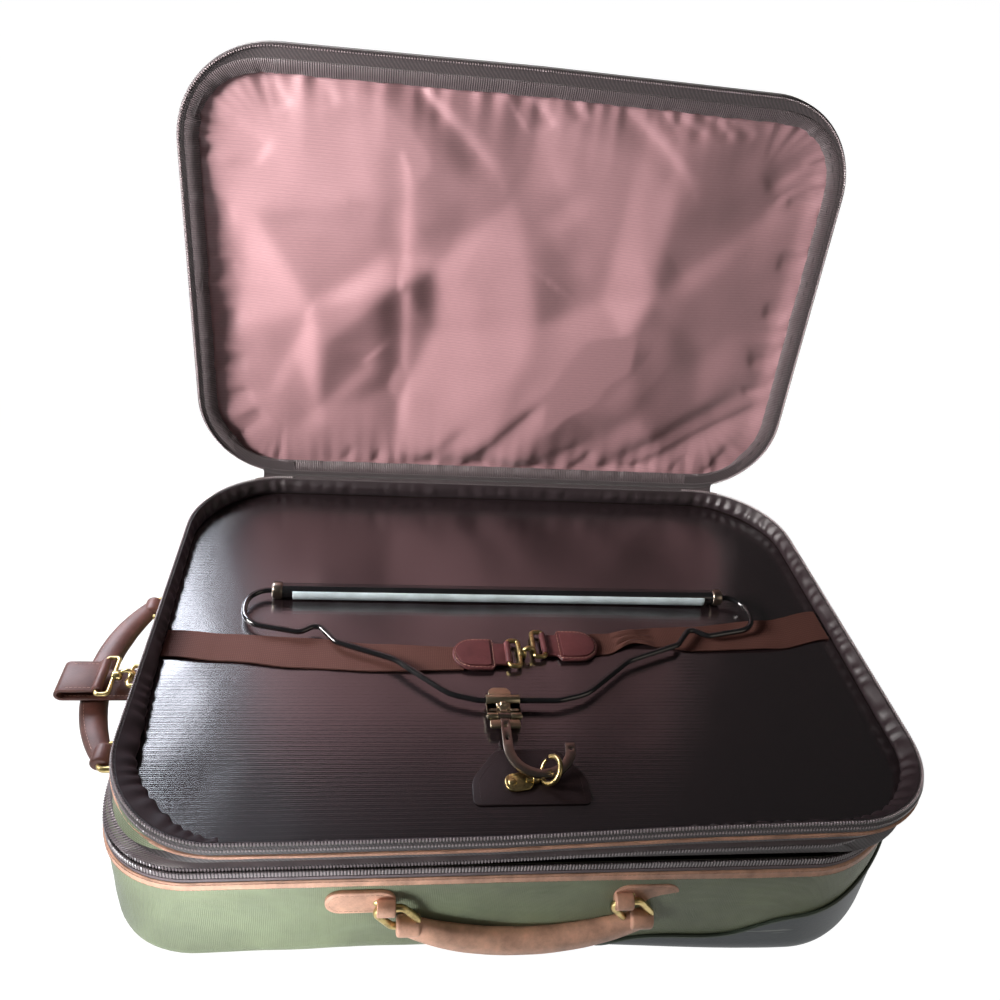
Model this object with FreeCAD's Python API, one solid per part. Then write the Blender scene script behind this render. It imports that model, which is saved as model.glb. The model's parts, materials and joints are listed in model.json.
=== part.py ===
import FreeCAD, Part
import math
import os

# A rolling garment bag lying on its back with its lid standing open. Millimetres, +Z up.
# X runs from the handle end (-X) to the wheel end (+X), and Y from the side with the carry
# handle (-Y) to the hinge side (+Y). The origin is on the floor under the middle of the case.

V = FreeCAD.Vector

# Case
CASE_LENGTH = 560.0          # outside, along X
CASE_WIDTH = 384.0           # outside, along Y
CASE_CORNER = 78.0           # radius of the four upright corners
CASE_WALL = 3.0              # canvas with its backing
CASE_RIM = 109.0             # height of the canvas wall
CASE_EDGE = 20.0             # radius round the bottom edge
LINING_THICK = 1.5
LINING_DROP = 3.0            # lining stops this far under the rim
FLOOR_HEIGHT = 24.0          # underside of the lining floor, over the trolley sleeves
FLOOR_THICK = 2.0

# Trims sewn to the outside of the walls
WELT_OUT = 1.6               # leather stands out this far
CASE_WELT_HEIGHT = 9.0
TAPE_OUT = 0.8
CASE_TAPE_HEIGHT = 8.0
TEETH_HALF = 0.9             # zip coil, as a plain bead
PARTING_GAP = 0.6            # between two facing rows of teeth

# Tray
TRAY_WALL = 2.5
TRAY_HEIGHT = 17.8
TRAY_WELT_HEIGHT = 4.2
TRAY_WELT_DROP = 3.4         # top of the tray welt below the tray rim
TRAY_TAPE_HEIGHT = 7.0
DIVIDER_THICK = 4.0
DIVIDER_DROP = 1.2           # underside of the divider below the tray wall
DIVIDER_INSET = 2.8
GUSSET_FOOT = 13.0           # foot of the gusset lining, in from the wall's outside
GUSSET_THICK = 0.9

# Lid
LID_DEPTH = 24.0             # from the zip to the outside of the panel
LID_WALL = 2.5
LID_SKIN = 3.0
LID_EDGE = 9.0
LID_TAPE_HEIGHT = 8.4
BINDING_LOW = 7.0            # from the zip to the near face of the binding
BINDING_THICK = 1.6
BINDING_FOOT = 15.0          # inner edge of the binding, in from the lid's outside
LID_PIECE_GAP = 0.2          # between the sheets of the lid

# Hinges of fabric round a cord
HINGE_OUT = 1.6              # cord centre outside the wall
HINGE_CORD = 1.2
HINGE_FLANGE = 0.8
ZIP_TAIL = 6.0               # zip runs on past the corner by this much

# Wheel end
WHEEL_RADIUS = 25.0
WHEEL_WIDTH = 22.0
WHEEL_Y = 108.0
WHEEL_OUT = 13.0             # wheel stands out past the end of the case
WHEEL_FLOOR_GAP = 0.5
HUB_RADIUS = 17.0
HUB_BOSS = 7.0
HUB_DISH = 2.0               # rim of the hub behind the boss at each side
AXLE_RADIUS = 3.0
AXLE_CLEAR = 0.05
WELL_CLEAR = 3.0             # round the wheel and at each side of it
HOUSING_SIDE = 10.0          # housing beyond the wheel well at each side
AXLE_SEAT = 7.0              # axle in each side of the housing
HOUSING_TOP = 58.0
HOUSING_BACK = 222.0         # X of the housing's inner face
SHELL_CLEAR = 0.3            # round a moulded piece let into the canvas
MOULDING_OUT = 1.0           # moulded pieces stand out of the canvas
GUARD_OUT = 1.4
GUARD_CURVE = (
    (58.0, 0.0), (100.0, 25.0), (158.0, 30.0), (186.0, 43.0), (222.0, 51.0), (262.0, 63.0), (300.0, 72.0),
)
FOOT_RADIUS = 11.0
FOOT_TIP = 8.0
FOOT_SIDES = 16
FOOT_Y = 88.0
FOOT_Z = 73.0

# Trolley
TROLLEY_Y = 95.0
SLEEVE_RADIUS = 9.0
SLEEVE_BORE = 8.1
TUBE_RADIUS = 8.0
TUBE_BORE = 6.8
SLEEVE_BED = 0.2             # sleeve above the inside of the case
SLEEVE_END_GAP = 0.3
TUBE_END = 190.0             # X of the tubes' lower end, pushed in
BEZEL_HALF = 118.0
BEZEL_TOP = 46.0
BEZEL_DEPTH = 43.0           # along X
BEZEL_RIM = 3.0              # wall of the bezel round its recess
BEZEL_SILL = 0.35            # thin floor under the grip
BEZEL_BACK = 14.0            # thickness behind the recess
GRIP_OUT = 12.0              # trolley grip stands out of the end
GRIP_LENGTH = 216.0
GRIP_DEEP = 22.0
GRIP_HIGH = 17.0
GRIP_ROUND = 7.0
GRIP_SOCKET = 4.0
BUTTON_LENGTH = 40.0
BUTTON_HIGH = 9.0
BUTTON_DEEP = 8.0
BUTTON_OUT = 2.5
BUTTON_TRAVEL = 4.0
BUTTON_EDGE = 1.0
BUTTON_CLEAR = 0.4
ROD_RADIUS = 2.5
ROD_BAR = 4.0                # cross bar between the release rods
ROD_CLEAR = 0.6
ROD_SHORT = 12.0             # rods stop this far inside the tubes

# Carry handles, drawn hanging from an axis along X at the origin with the wall behind at +Y
HANDLE_X = -14.0
HANDLE_Z = 70.0
END_HANDLE_Z = 66.0
PIVOT_OUT = 6.5              # ring axis to the wall
RING_X = 78.0                # ring centres from the middle of the handle
RING_WIDE = 22.0
RING_DROP = 20.0
RING_WIRE = 2.4
RING_BEND = 5.0
EYE_RADIUS = 5.5
EYE_BORE = 2.9
EYE_LENGTH = 12.0
TAB_LONG = 46.0
TAB_HIGH = 22.0
TAB_THICK = 3.0
GRIP_SAG = 22.0
GRIP_MID_HIGH = 18.0
GRIP_MID_DEEP = 12.0
GRIP_END_SCALE = 0.5
GRIP_STATIONS = 9
GRIP_SIDES = 10

# Luggage strap with its snap at the handle end
STRAP_Y = -20.0
STRAP_WIDE = 30.0
STRAP_THICK = 2.4
STRAP_REACH = 66.0
STRAP_Z = 77.0
STRAP_BEND = 4.5
STRAP_TURN = 26.0            # run back to the snap's loop
SNAP_WIRE = 1.7
SNAP_LOOP_LONG = 9.0
SNAP_EYE = 3.9
SNAP_BARREL = 3.6
SNAP_BARREL_LONG = 6.0
SNAP_HOOK_RADIUS = 5.6
SNAP_GATE_WIRE = 1.3
SNAP_BEND = 2.6
SNAP_MOUTH = -60.0           # end of the hook, degrees round from the far side
SNAP_GATE_ROOT = -114.0
SNAP_GATE_GAP = 8.0
RING_CLEAR = 0.3             # round a wire in its eye
DEE_WIDE = 20.0
DEE_CHAPE = 1.4
DEE_CHAPE_HALF = 5.0

# Divider fittings
WEBBING_WIDE = 25.0
WEBBING_THICK = 1.2
LAY_GAP = 0.2                # between pieces that lie on one another
LEFT_STRAP = ((-264.0, -15.0), (-44.0, -25.0))
RIGHT_STRAP = ((58.0, -15.0), (264.0, 8.0))
TAB_PLATE_LONG = 42.0
TAB_PLATE_WIDE = 27.0
TAB_PLATE_THICK = 2.6
CLASP_WIRE = 1.5
CLASP_WIDE = 22.0
CLASP_LOOP = 9.0
CLASP_BEND = 2.4
CLASP_BARREL = 3.2
CLASP_BARREL_LONG = 4.0
CLASP_HOOK = 5.0
CLASP_LIFT = 1.2
CLASP_ROOT = 195.0           # hook of the clasp, degrees round from the far side
CLASP_MOUTH = -20.0
TAB_LAP = 6.0                # tab over the end of the webbing
TAB_EYE_WALL = 1.0
TAB_EYE_HALF = 7.0
PATCH_WIDE = 80.0
PATCH_TOP = 44.0
PATCH_HIGH = 44.0
PATCH_ROUND = 10.0
PATCH_FOOT_ROUND = 2.0
PATCH_SIDE = 20.0
PATCH_X = -4.5
PATCH_INSET = 33.0           # foot of the patch from the front of the tray
PATCH_THICK = 1.0

# Hanger
HANGER_X = -5.0
BAR_INSET = 232.0            # trouser bar from the front of the tray
BAR_HALF = 187.0
BAR_RADIUS = 6.0
BAR_WALL = 1.2
GRIP_STRIP_END = 8.0         # bare bar between the strip and a ferrule
GRIP_STRIP_TURN = 100.0      # strip round the bar from its top, to the front
GRIP_STRIP_WIDE = 7.0
GRIP_STRIP_THICK = 1.2
FERRULE_LONG = 9.0
FERRULE_RADIUS = 7.0
FERRULE_SIDES = 16
FERRULE_LAP = 3.0
WIRE_SOCKET = 4.0
WIRE_RADIUS = 2.3
HANGER_POINTS = (
    (212.0, 0.0, 18.0), (212.0, -38.0, 19.0), (166.0, -48.0, 8.0), (153.0, -39.0, 7.0),
    (138.0, -58.0, 12.0), (92.0, -76.0, 30.0), (52.0, -110.0, 30.0), (30.0, -116.0, 20.0),
)                            # half of the wire from the bar outwards: x, y, bend radius
CLAMP_X = -18.0
CLAMP_LONG = 25.0
CLAMP_ROLL = 4.0
CLAMP_CLEAR = 0.05
CLAMP_PLATE = 1.8
CLAMP_REACH = 15.0
PIN_RADIUS = 1.2
KNUCKLE_RADIUS = 2.6
KNUCKLE_LONG = 9.0
KNUCKLE_GAP = 0.3
HOOK_WIDE = 7.0
HOOK_THICK = 2.2
HOOK_SHANK = 27.0
HOOK_BEND = 22.0
HOOK_TIP = 3.0
HOOK_LEAF_LONG = 7.0         # hinge leaf at the root of the hook
HOOK_LEAF_WIDE = 22.0
HOOK_LEAF_GAP = 0.8          # between the leaf and the clamp's knuckles

# Snap on the patch
PATCH_SNAP_AT = -85.0        # where the ring crosses the hook, degrees round its bend
PATCH_SNAP_HEADING = 8.0     # way the snap points on the patch
PATCH_SNAP_TILT = 55.0       # ring from lying flat
PATCH_SNAP_RADIUS = 9.0
PATCH_SNAP_WIRE = 1.8
PATCH_SNAP_LIE = 0.3         # ring above the patch
PATCH_SNAP_MOUTH = 70.0
PATCH_GATE_GAP = 24.0
PATCH_GATE_ROOT = 148.0
PATCH_GATE_WIRE = 1.2
PATCH_NECK = 1.8
PATCH_NECK_LONG = 11.0
PATCH_PLATE_LONG = 20.0
PATCH_PLATE_WIDE = 14.0
PATCH_PLATE_THICK = 2.0

# Zip sliders
SLIDER_LONG = 10.0
SLIDER_DEEP = 2.6
SLIDER_HIGH = 7.0
SLIDER_LEAN = 18.0           # degrees round the back corner
SLIDER_MAIN_Y = 8.0
PULL_LONG = 15.0
PULL_WIDE = 6.0
PULL_THICK = 1.4
PULL_PIN = 0.8
PULL_CLEAR = 0.3
PULL_WALL = 0.6
PULL_SIDE = 0.3

PAST = 5.0                   # cutting blocks run on past the piece
BEND_STEP = 30.0             # degrees in each straight step of a bent wire
WIRE_SIDES = 8
EDGE_STEPS = 2               # straight steps round the bottom edge
LID_STEPS = 2

# Levels that follow from the sizes above
half_length = CASE_LENGTH / 2
half_width = CASE_WIDTH / 2
main_parting = CASE_RIM + 2 * TEETH_HALF + PARTING_GAP / 2
tray_low = main_parting + PARTING_GAP / 2 + 2 * TEETH_HALF
tray_rim = tray_low + TRAY_HEIGHT
lid_parting = tray_rim + 2 * TEETH_HALF + PARTING_GAP / 2
lid_low = lid_parting + PARTING_GAP / 2 + 2 * TEETH_HALF
hinge_y = half_width + HINGE_OUT
hinge_half = half_length - CASE_CORNER - ZIP_TAIL
divider_low = tray_low - DIVIDER_DROP
divider_top = divider_low + DIVIDER_THICK
wheel_x = half_length + WHEEL_OUT - WHEEL_RADIUS
wheel_z = WHEEL_RADIUS + WHEEL_FLOOR_GAP
trolley_z = CASE_WALL + SLEEVE_BED + SLEEVE_RADIUS
patch_y = PATCH_INSET - half_width
bar_y = BAR_INSET - half_width
strip_half = BAR_HALF - FERRULE_LAP - GRIP_STRIP_END


def plan(inset, z):
    """The bag's outline from above, drawn in by inset."""
    x = half_length - inset
    y = half_width - inset
    r = CASE_CORNER - inset
    edges = []
    corners = ((x, -y, -90), (x, y, 0), (-x, y, 90), (-x, -y, 180))
    ends = []
    for cx, cy, start in corners:
        ox = cx - math.copysign(r, cx)
        oy = cy - math.copysign(r, cy)
        arc = Part.makeCircle(r, V(ox, oy, z), V(0, 0, 1), start, start + 90)
        ends.append(arc)
    for i, arc in enumerate(ends):
        nxt = ends[(i + 1) % 4]
        edges.append(arc)
        edges.append(Part.makeLine(arc.lastVertex(True).Point, nxt.firstVertex(True).Point))
    return Part.Wire(edges)


def slab(inset, low, high):
    return Part.Face(plan(inset, low)).extrude(V(0, 0, high - low))


def ring(outer, inner, low, high):
    return slab(outer, low, high).cut(slab(inner, low - PAST, high + PAST))


def box(x0, x1, y0, y1, z0, z1):
    return Part.makeBox(x1 - x0, y1 - y0, z1 - z0, V(x0, y0, z0))


def rod(a, b, radius):
    a = V(*a)
    b = V(*b)
    return Part.makeCylinder(radius, (b - a).Length, a, b - a)


def bent(points, radii, closed=False):
    """Straight runs with a round bend at each inner point: (start, end) or (start, middle, end)."""
    pts = [V(*p) for p in points]
    n = len(pts)
    cuts = []
    for i, p in enumerate(pts):
        if not closed and i in (0, n - 1):
            cuts.append((p, p, p))
            continue
        u = (pts[i - 1] - p).normalize()
        w = (pts[(i + 1) % n] - p).normalize()
        half = u.getAngle(w) / 2
        back = radii[i] / math.tan(half)
        middle = (u + w).normalize() * (radii[i] / math.sin(half) - radii[i])
        cuts.append((p + u * back, p + middle, p + w * back))
    runs = []
    for i in range(n if closed else n - 1):
        a = cuts[i]
        b = cuts[(i + 1) % n]
        if (b[0] - a[2]).Length > 1e-6:
            runs.append((a[2], b[0]))
        if (b[2] - b[0]).Length > 1e-6:
            runs.append(b)
    return runs


def outline(runs):
    """A closed flat outline from such runs."""
    edges = []
    for run in runs:
        edges.append(Part.makeLine(*run) if len(run) == 2 else Part.Arc(*run).toShape())
    return Part.Face(Part.Wire(edges))


def stacked(rings, closed=False):
    """A solid with flat sides through rings of points."""
    faces = []
    sides = len(rings[0])
    for i in range(len(rings) if closed else len(rings) - 1):
        near = rings[i]
        far = rings[(i + 1) % len(rings)]
        for k in range(sides):
            m = (k + 1) % sides
            if abs((near[m] - near[k]).cross(far[k] - near[k]).normalize().dot(far[m] - near[k])) < 1e-7:
                faces.append(Part.Face(Part.makePolygon([near[k], near[m], far[m], far[k], near[k]])))
                continue
            faces.append(Part.Face(Part.makePolygon([near[k], near[m], far[m], near[k]])))
            faces.append(Part.Face(Part.makePolygon([near[k], far[m], far[k], near[k]])))
    if not closed:
        for end in (rings[0], rings[-1]):
            faces.append(Part.Face(Part.makePolygon(end + end[:1])))
    bar = Part.Solid(Part.Shell(faces))
    if bar.Volume < 0:
        bar.reverse()
    return bar


def swept(runs, normal, section):
    """A bar along flat runs, its bends in short straight steps.

    Section points are (sideways in the plane, along the normal).
    """
    normal = V(*normal)
    stations = []
    for run in runs:
        if len(run) == 2:
            along = (run[1] - run[0]).normalize()
            steps = [(run[0], along), (run[1], along)]
        else:
            edge = Part.Arc(*run).toShape()
            first = edge.FirstParameter
            turn = edge.LastParameter - first
            count = math.ceil(math.degrees(turn) / BEND_STEP - 0.01)
            params = [first + turn * i / count for i in range(count + 1)]
            steps = [(edge.valueAt(t), edge.tangentAt(t)) for t in params]
        for at, along in steps:
            if not stations or (at - stations[-1][0]).Length > 1e-6:
                stations.append((at, along))
    closed = (stations[0][0] - stations[-1][0]).Length < 1e-6
    if closed:
        stations.pop()
    rings = []
    for at, along in stations:
        across = normal.cross(along)
        rings.append([at + across * u + normal * w for u, w in section])
    return stacked(rings, closed)


def round_section(radius, sides):
    step = 2 * math.pi / sides
    return [(radius * math.cos((i + 0.5) * step), radius * math.sin((i + 0.5) * step)) for i in range(sides)]


def wire(runs, normal, radius):
    """Drawn wire along flat runs, with flats in place of a round section."""
    return swept(runs, normal, round_section(radius, WIRE_SIDES))


def flats(a, b, radius, sides=WIRE_SIDES):
    """A straight bar with flats in place of a round section."""
    a = V(*a)
    b = V(*b)
    along = (b - a).normalize()
    normal = V(0, 0, 1) if abs(along.z) < 0.5 else V(0, 1, 0)
    normal = along.cross(normal).normalize()
    return swept([(a, b)], normal, round_section(radius, sides))


def flat_section(wide, thick):
    u = wide / 2
    w = thick / 2
    return [(-u, -w), (u, -w), (u, w), (-u, w)]


def tape_ring(thick, low, high):
    """A sewn band outside the wall, open along the hinge."""
    band = ring(-thick, 0, low, high)
    gap = box(-hinge_half, hinge_half, half_width - CASE_CORNER, half_width + PAST, low - PAST, high + PAST)
    return band.cut(gap)


def zip_row(inset, z):
    """One row of zip coil on three sides, from one end of the hinge to the other."""
    y = half_width - inset
    r = CASE_CORNER - inset
    band = ring(inset - TEETH_HALF, inset + TEETH_HALF, z - TEETH_HALF, z + TEETH_HALF)
    gap = box(-hinge_half, hinge_half, y - r, y + PAST, z - PAST, z + PAST)
    return band.cut(gap)


def envelope(out):
    """The case as a block, its bottom edge rounded in steps, grown sideways by out."""
    wires = []
    for i in range(EDGE_STEPS + 1):
        a = math.pi / 2 * i / EDGE_STEPS
        wires.append(plan(CASE_EDGE * (1 - math.sin(a)) - out, CASE_EDGE * (1 - math.cos(a))))
    wires.append(plan(-out, CASE_RIM))
    return Part.makeLoft(wires, True, True)


def stadium(long, wide, thick, centre):
    """A flat plate with round ends, long along X, its underside at centre."""
    r = wide / 2
    a = long / 2 - r
    runs = [
        (V(-a, -r, 0), V(a, -r, 0)), (V(a, -r, 0), V(a + r, 0, 0), V(a, r, 0)),
        (V(a, r, 0), V(-a, r, 0)), (V(-a, r, 0), V(-a - r, 0, 0), V(-a, -r, 0)),
    ]
    plate = outline(runs).extrude(V(0, 0, thick))
    plate.translate(V(*centre))
    return plate


def together(solids):
    """Separate solids kept as one group."""
    flat = []
    for s in solids:
        flat.extend(s.Solids)
    return flat[0] if len(flat) == 1 else Part.makeCompound(flat)


nodes = {}

# Case
housing_half = WHEEL_WIDTH / 2 + WELL_CLEAR + HOUSING_SIDE
bezel_x = -half_length + BEZEL_DEPTH
bed = CASE_WALL + SLEEVE_BED


def housing_box(side, grow):
    y = side * WHEEL_Y
    reach = housing_half + grow
    return box(HOUSING_BACK - grow, half_length + PAST, y - reach, y + reach, 0, HOUSING_TOP + grow)


def bezel_box(grow):
    reach = BEZEL_HALF + grow
    return box(-half_length - PAST, bezel_x + grow, -reach, reach, bed - grow, BEZEL_TOP + grow)


case_body = envelope(0)
hollow_wires = [
    plan(CASE_EDGE, CASE_WALL), plan(CASE_WALL, CASE_EDGE), plan(CASE_WALL, CASE_RIM + PAST),
]
hollow = Part.makeLoft(hollow_wires, True, True)
shell = case_body.cut(hollow).cut(bezel_box(SHELL_CLEAR))
for side in (-1, 1):
    shell = shell.cut(housing_box(side, SHELL_CLEAR))
nodes["case_shell"] = shell

lining_inset = CASE_WALL + LAY_GAP
lining_top = CASE_RIM - LINING_DROP
lining = slab(lining_inset, FLOOR_HEIGHT, lining_top)
pocket = slab(lining_inset + LINING_THICK, FLOOR_HEIGHT + FLOOR_THICK, lining_top + PAST)
cover = SHELL_CLEAR + LINING_THICK
pocket = pocket.cut(bezel_box(cover))
for side in (-1, 1):
    pocket = pocket.cut(housing_box(side, cover))
lining = lining.cut(pocket).cut(bezel_box(SHELL_CLEAR))
for side in (-1, 1):
    lining = lining.cut(housing_box(side, SHELL_CLEAR))
nodes["case_lining"] = lining

welt_top = CASE_RIM - CASE_TAPE_HEIGHT
nodes["case_welt"] = ring(-WELT_OUT, 0, welt_top - CASE_WELT_HEIGHT, welt_top)
nodes["case_zip_tape"] = tape_ring(TAPE_OUT, welt_top + LAY_GAP, CASE_RIM)
nodes["case_zip_teeth"] = zip_row(CASE_WALL / 2, CASE_RIM + TEETH_HALF)


def hinge_piping(z, flange_low):
    """A cord along the hinge with a flange sewn to the wall below it."""
    cord = rod((-hinge_half, hinge_y, z), (hinge_half, hinge_y, z), HINGE_CORD)
    flange = box(-hinge_half, hinge_half, half_width, half_width + HINGE_FLANGE, flange_low, z)
    return cord.fuse(flange).removeSplitter()


nodes["case_hinge"] = hinge_piping(main_parting, welt_top + LAY_GAP)

profile = Part.BSplineCurve()
profile.interpolate([V(x, 0, z) for x, z in GUARD_CURVE])
guard_first = V(GUARD_CURVE[0][0], 0, GUARD_CURVE[0][1])
guard_last = V(GUARD_CURVE[-1][0], 0, GUARD_CURVE[-1][1])
guard_foot = V(guard_last.x, 0, guard_first.z)
guard_edges = [
    profile.toShape(), Part.makeLine(guard_last, guard_foot), Part.makeLine(guard_foot, guard_first),
]
guard_block = Part.Face(Part.Wire(guard_edges)).extrude(V(0, 2 * CASE_WIDTH, 0))
guard_block.translate(V(0, -CASE_WIDTH, 0))
guard = envelope(GUARD_OUT).cut(case_body).common(guard_block)
for side in (-1, 1):
    guard = guard.cut(housing_box(side, SHELL_CLEAR))
nodes["corner_guard"] = together([guard])

# Wheel end
housings = []
axles = []
moulding = envelope(MOULDING_OUT)
well_half = WHEEL_WIDTH / 2 + WELL_CLEAR
well_radius = WHEEL_RADIUS + WELL_CLEAR
pin_half = well_half + AXLE_SEAT
for side in (-1, 1):
    y = side * WHEEL_Y
    block = housing_box(side, 0).common(moulding)
    well = rod((wheel_x, y - well_half, wheel_z), (wheel_x, y + well_half, wheel_z), well_radius)
    mouth = box(wheel_x, half_length + PAST, y - well_half, y + well_half, -PAST, wheel_z + well_radius)
    under = box(wheel_x - well_radius, half_length + PAST, y - well_half, y + well_half, -PAST, wheel_z)
    pin_a = (wheel_x, y - pin_half, wheel_z)
    pin_b = (wheel_x, y + pin_half, wheel_z)
    hole = rod(pin_a, pin_b, AXLE_RADIUS + AXLE_CLEAR)
    housings.append(block.cut(well).cut(mouth).cut(under).cut(hole))
    axles.append(rod(pin_a, pin_b, AXLE_RADIUS))
nodes["wheel_housings"] = together(housings)
nodes["wheel_axles"] = together(axles)

for side, name in ((-1, "front"), (1, "rear")):
    y = side * WHEEL_Y
    a = (wheel_x, y - WHEEL_WIDTH / 2, wheel_z)
    b = (wheel_x, y + WHEEL_WIDTH / 2, wheel_z)
    rim_a = (wheel_x, a[1] + HUB_DISH, wheel_z)
    rim_b = (wheel_x, b[1] - HUB_DISH, wheel_z)
    hub = rod(rim_a, rim_b, HUB_RADIUS).fuse(rod(a, b, HUB_BOSS))
    nodes["wheel_hub_" + name] = hub.cut(rod(a, b, AXLE_RADIUS + AXLE_CLEAR)).removeSplitter()
    nodes["wheel_tyre_" + name] = rod(a, b, WHEEL_RADIUS).cut(rod(a, b, HUB_RADIUS))

foot_in = half_length + GUARD_OUT
foot_long = half_length + WHEEL_OUT - foot_in
feet = []
for side in (-1, 1):
    rings = []
    for at, radius in ((0, FOOT_RADIUS), (foot_long, FOOT_TIP)):
        points = []
        for y, z in round_section(radius, FOOT_SIDES):
            points.append(V(foot_in + at, side * FOOT_Y + y, FOOT_Z + z))
        rings.append(points)
    feet.append(stacked(rings))
nodes["standing_feet"] = together(feet)

# Trolley
sleeves = []
tubes = []
grip_x = -half_length - GRIP_OUT
grip_back = grip_x + GRIP_DEEP
tube_top = grip_back - GRIP_SOCKET
for side in (-1, 1):
    y = side * TROLLEY_Y
    a = (bezel_x + LAY_GAP, y, trolley_z)
    b = (HOUSING_BACK - SLEEVE_END_GAP, y, trolley_z)
    sleeves.append(rod(a, b, SLEEVE_RADIUS).cut(rod(a, b, SLEEVE_BORE)))
    a = (tube_top, y, trolley_z)
    b = (TUBE_END, y, trolley_z)
    tubes.append(rod(a, b, TUBE_RADIUS).cut(rod(a, b, TUBE_BORE)))
nodes["trolley_sleeves"] = together(sleeves)
nodes["trolley_tubes"] = together(tubes)

bezel = bezel_box(0).common(moulding)
recess_back = bezel_x - BEZEL_BACK
recess_half = BEZEL_HALF - BEZEL_RIM
recess = box(
    -half_length - PAST, recess_back, -recess_half, recess_half, bed + BEZEL_SILL, BEZEL_TOP - BEZEL_RIM
)
bezel = bezel.cut(recess)
for side in (-1, 1):
    y = side * TROLLEY_Y
    a = (recess_back - PAST, y, trolley_z)
    bezel = bezel.cut(rod(a, (bezel_x + PAST, y, trolley_z), SLEEVE_BORE))
nodes["trolley_bezel"] = bezel

grip_low = trolley_z - GRIP_HIGH / 2
grip = box(grip_x, grip_back, -GRIP_LENGTH / 2, GRIP_LENGTH / 2, grip_low, grip_low + GRIP_HIGH)
grip_edges = [e for e in grip.Edges if abs(e.tangentAt(e.FirstParameter).y) > 0.9]
grip = grip.makeFillet(GRIP_ROUND, grip_edges)
for side in (-1, 1):
    y = side * TROLLEY_Y
    grip = grip.cut(rod((tube_top, y, trolley_z), (grip_back + PAST, y, trolley_z), TUBE_RADIUS))
bar_x = grip_x + BUTTON_DEEP
slot_half = TROLLEY_Y + ROD_RADIUS + ROD_CLEAR
slot_high = ROD_BAR / 2 + ROD_CLEAR
slot = box(
    bar_x - ROD_CLEAR, grip_back + PAST, -slot_half, slot_half, trolley_z - slot_high, trolley_z + slot_high
)
grip = grip.cut(slot)
well_y = BUTTON_LENGTH / 2 + BUTTON_CLEAR
well_z = BUTTON_HIGH / 2 + BUTTON_CLEAR
well_end = bar_x + BUTTON_TRAVEL
button_well = box(grip_x - PAST, well_end, -well_y, well_y, trolley_z - well_z, trolley_z + well_z)
nodes["trolley_grip"] = grip.cut(button_well)
button_low = trolley_z - BUTTON_HIGH / 2
button = box(
    grip_x - BUTTON_OUT, bar_x - LAY_GAP, -BUTTON_LENGTH / 2, BUTTON_LENGTH / 2, button_low,
    button_low + BUTTON_HIGH,
)
button_face = [e for e in button.Edges if e.BoundBox.XMax < grip_x - BUTTON_OUT + 0.01]
nodes["release_button"] = button.makeChamfer(BUTTON_EDGE, button_face)
bar_low = trolley_z - ROD_BAR / 2
rods = box(bar_x, bar_x + ROD_BAR, -TROLLEY_Y, TROLLEY_Y, bar_low, bar_low + ROD_BAR)
for side in (-1, 1):
    y = side * TROLLEY_Y
    rods = rods.fuse(rod((bar_x, y, trolley_z), (TUBE_END - ROD_SHORT, y, trolley_z), ROD_RADIUS))
nodes["release_rods"] = rods.removeSplitter()

# Carry handles


def handle_ring(x, radius):
    h = RING_WIDE / 2
    corners = [(x - h, 0, 0), (x + h, 0, 0), (x + h, 0, -RING_DROP), (x - h, 0, -RING_DROP)]
    return wire(bent(corners, [RING_BEND] * 4, True), (0, 1, 0), radius)


def handle_pieces():
    """Tabs, rings and grip, hanging from the axis along X at the origin."""
    tabs = []
    rings = []
    eye_half = EYE_LENGTH / 2
    for side in (-1, 1):
        x = side * RING_X
        plate = stadium(TAB_LONG, TAB_HIGH, TAB_THICK, (0, 0, 0))
        plate.rotate(V(0, 0, 0), V(1, 0, 0), 90)
        plate.translate(V(side * (RING_X - eye_half + TAB_LONG / 2), PIVOT_OUT, 0))
        eye = flats((x - eye_half, 0, 0), (x + eye_half, 0, 0), EYE_RADIUS)
        hole = flats((x - RING_WIDE, 0, 0), (x + RING_WIDE, 0, 0), EYE_BORE)
        tabs.append(plate.fuse(eye).cut(hole).removeSplitter())
        rings.append(handle_ring(x, RING_WIRE))
    bow = (RING_X ** 2 + GRIP_SAG ** 2) / (2 * GRIP_SAG)
    turn = math.asin(RING_X / bow)
    sections = []
    for station in range(GRIP_STATIONS):
        t = 2 * station / (GRIP_STATIONS - 1) - 1
        a = t * turn
        size = 1 - (1 - GRIP_END_SCALE) * t * t
        centre = V(bow * math.sin(a), 0, -RING_DROP - GRIP_SAG + bow * (1 - math.cos(a)))
        inward = V(-math.sin(a), 0, math.cos(a))
        ring_points = []
        for k in range(GRIP_SIDES):
            c = math.cos(2 * math.pi * (k + 0.5) / GRIP_SIDES)
            s = math.sin(2 * math.pi * (k + 0.5) / GRIP_SIDES)
            across = V(0, GRIP_MID_DEEP / 2 * size * s, 0)
            ring_points.append(centre + inward * (GRIP_MID_HIGH / 2 * size * c) + across)
        sections.append(ring_points)
    grip = stacked(sections)
    for side in (-1, 1):
        x = side * RING_X
        a = (x - eye_half, 0, -RING_DROP)
        b = (x + eye_half, 0, -RING_DROP)
        grip = grip.fuse(flats(a, b, EYE_RADIUS))
    for side in (-1, 1):
        grip = grip.cut(handle_ring(side * RING_X, EYE_BORE))
    return together(tabs), together(rings), together([grip])


def placed(shape, turns, move):
    copy = shape.copy()
    for axis, angle in turns:
        copy.rotate(V(0, 0, 0), axis, angle)
    copy.translate(V(*move))
    return copy


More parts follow.
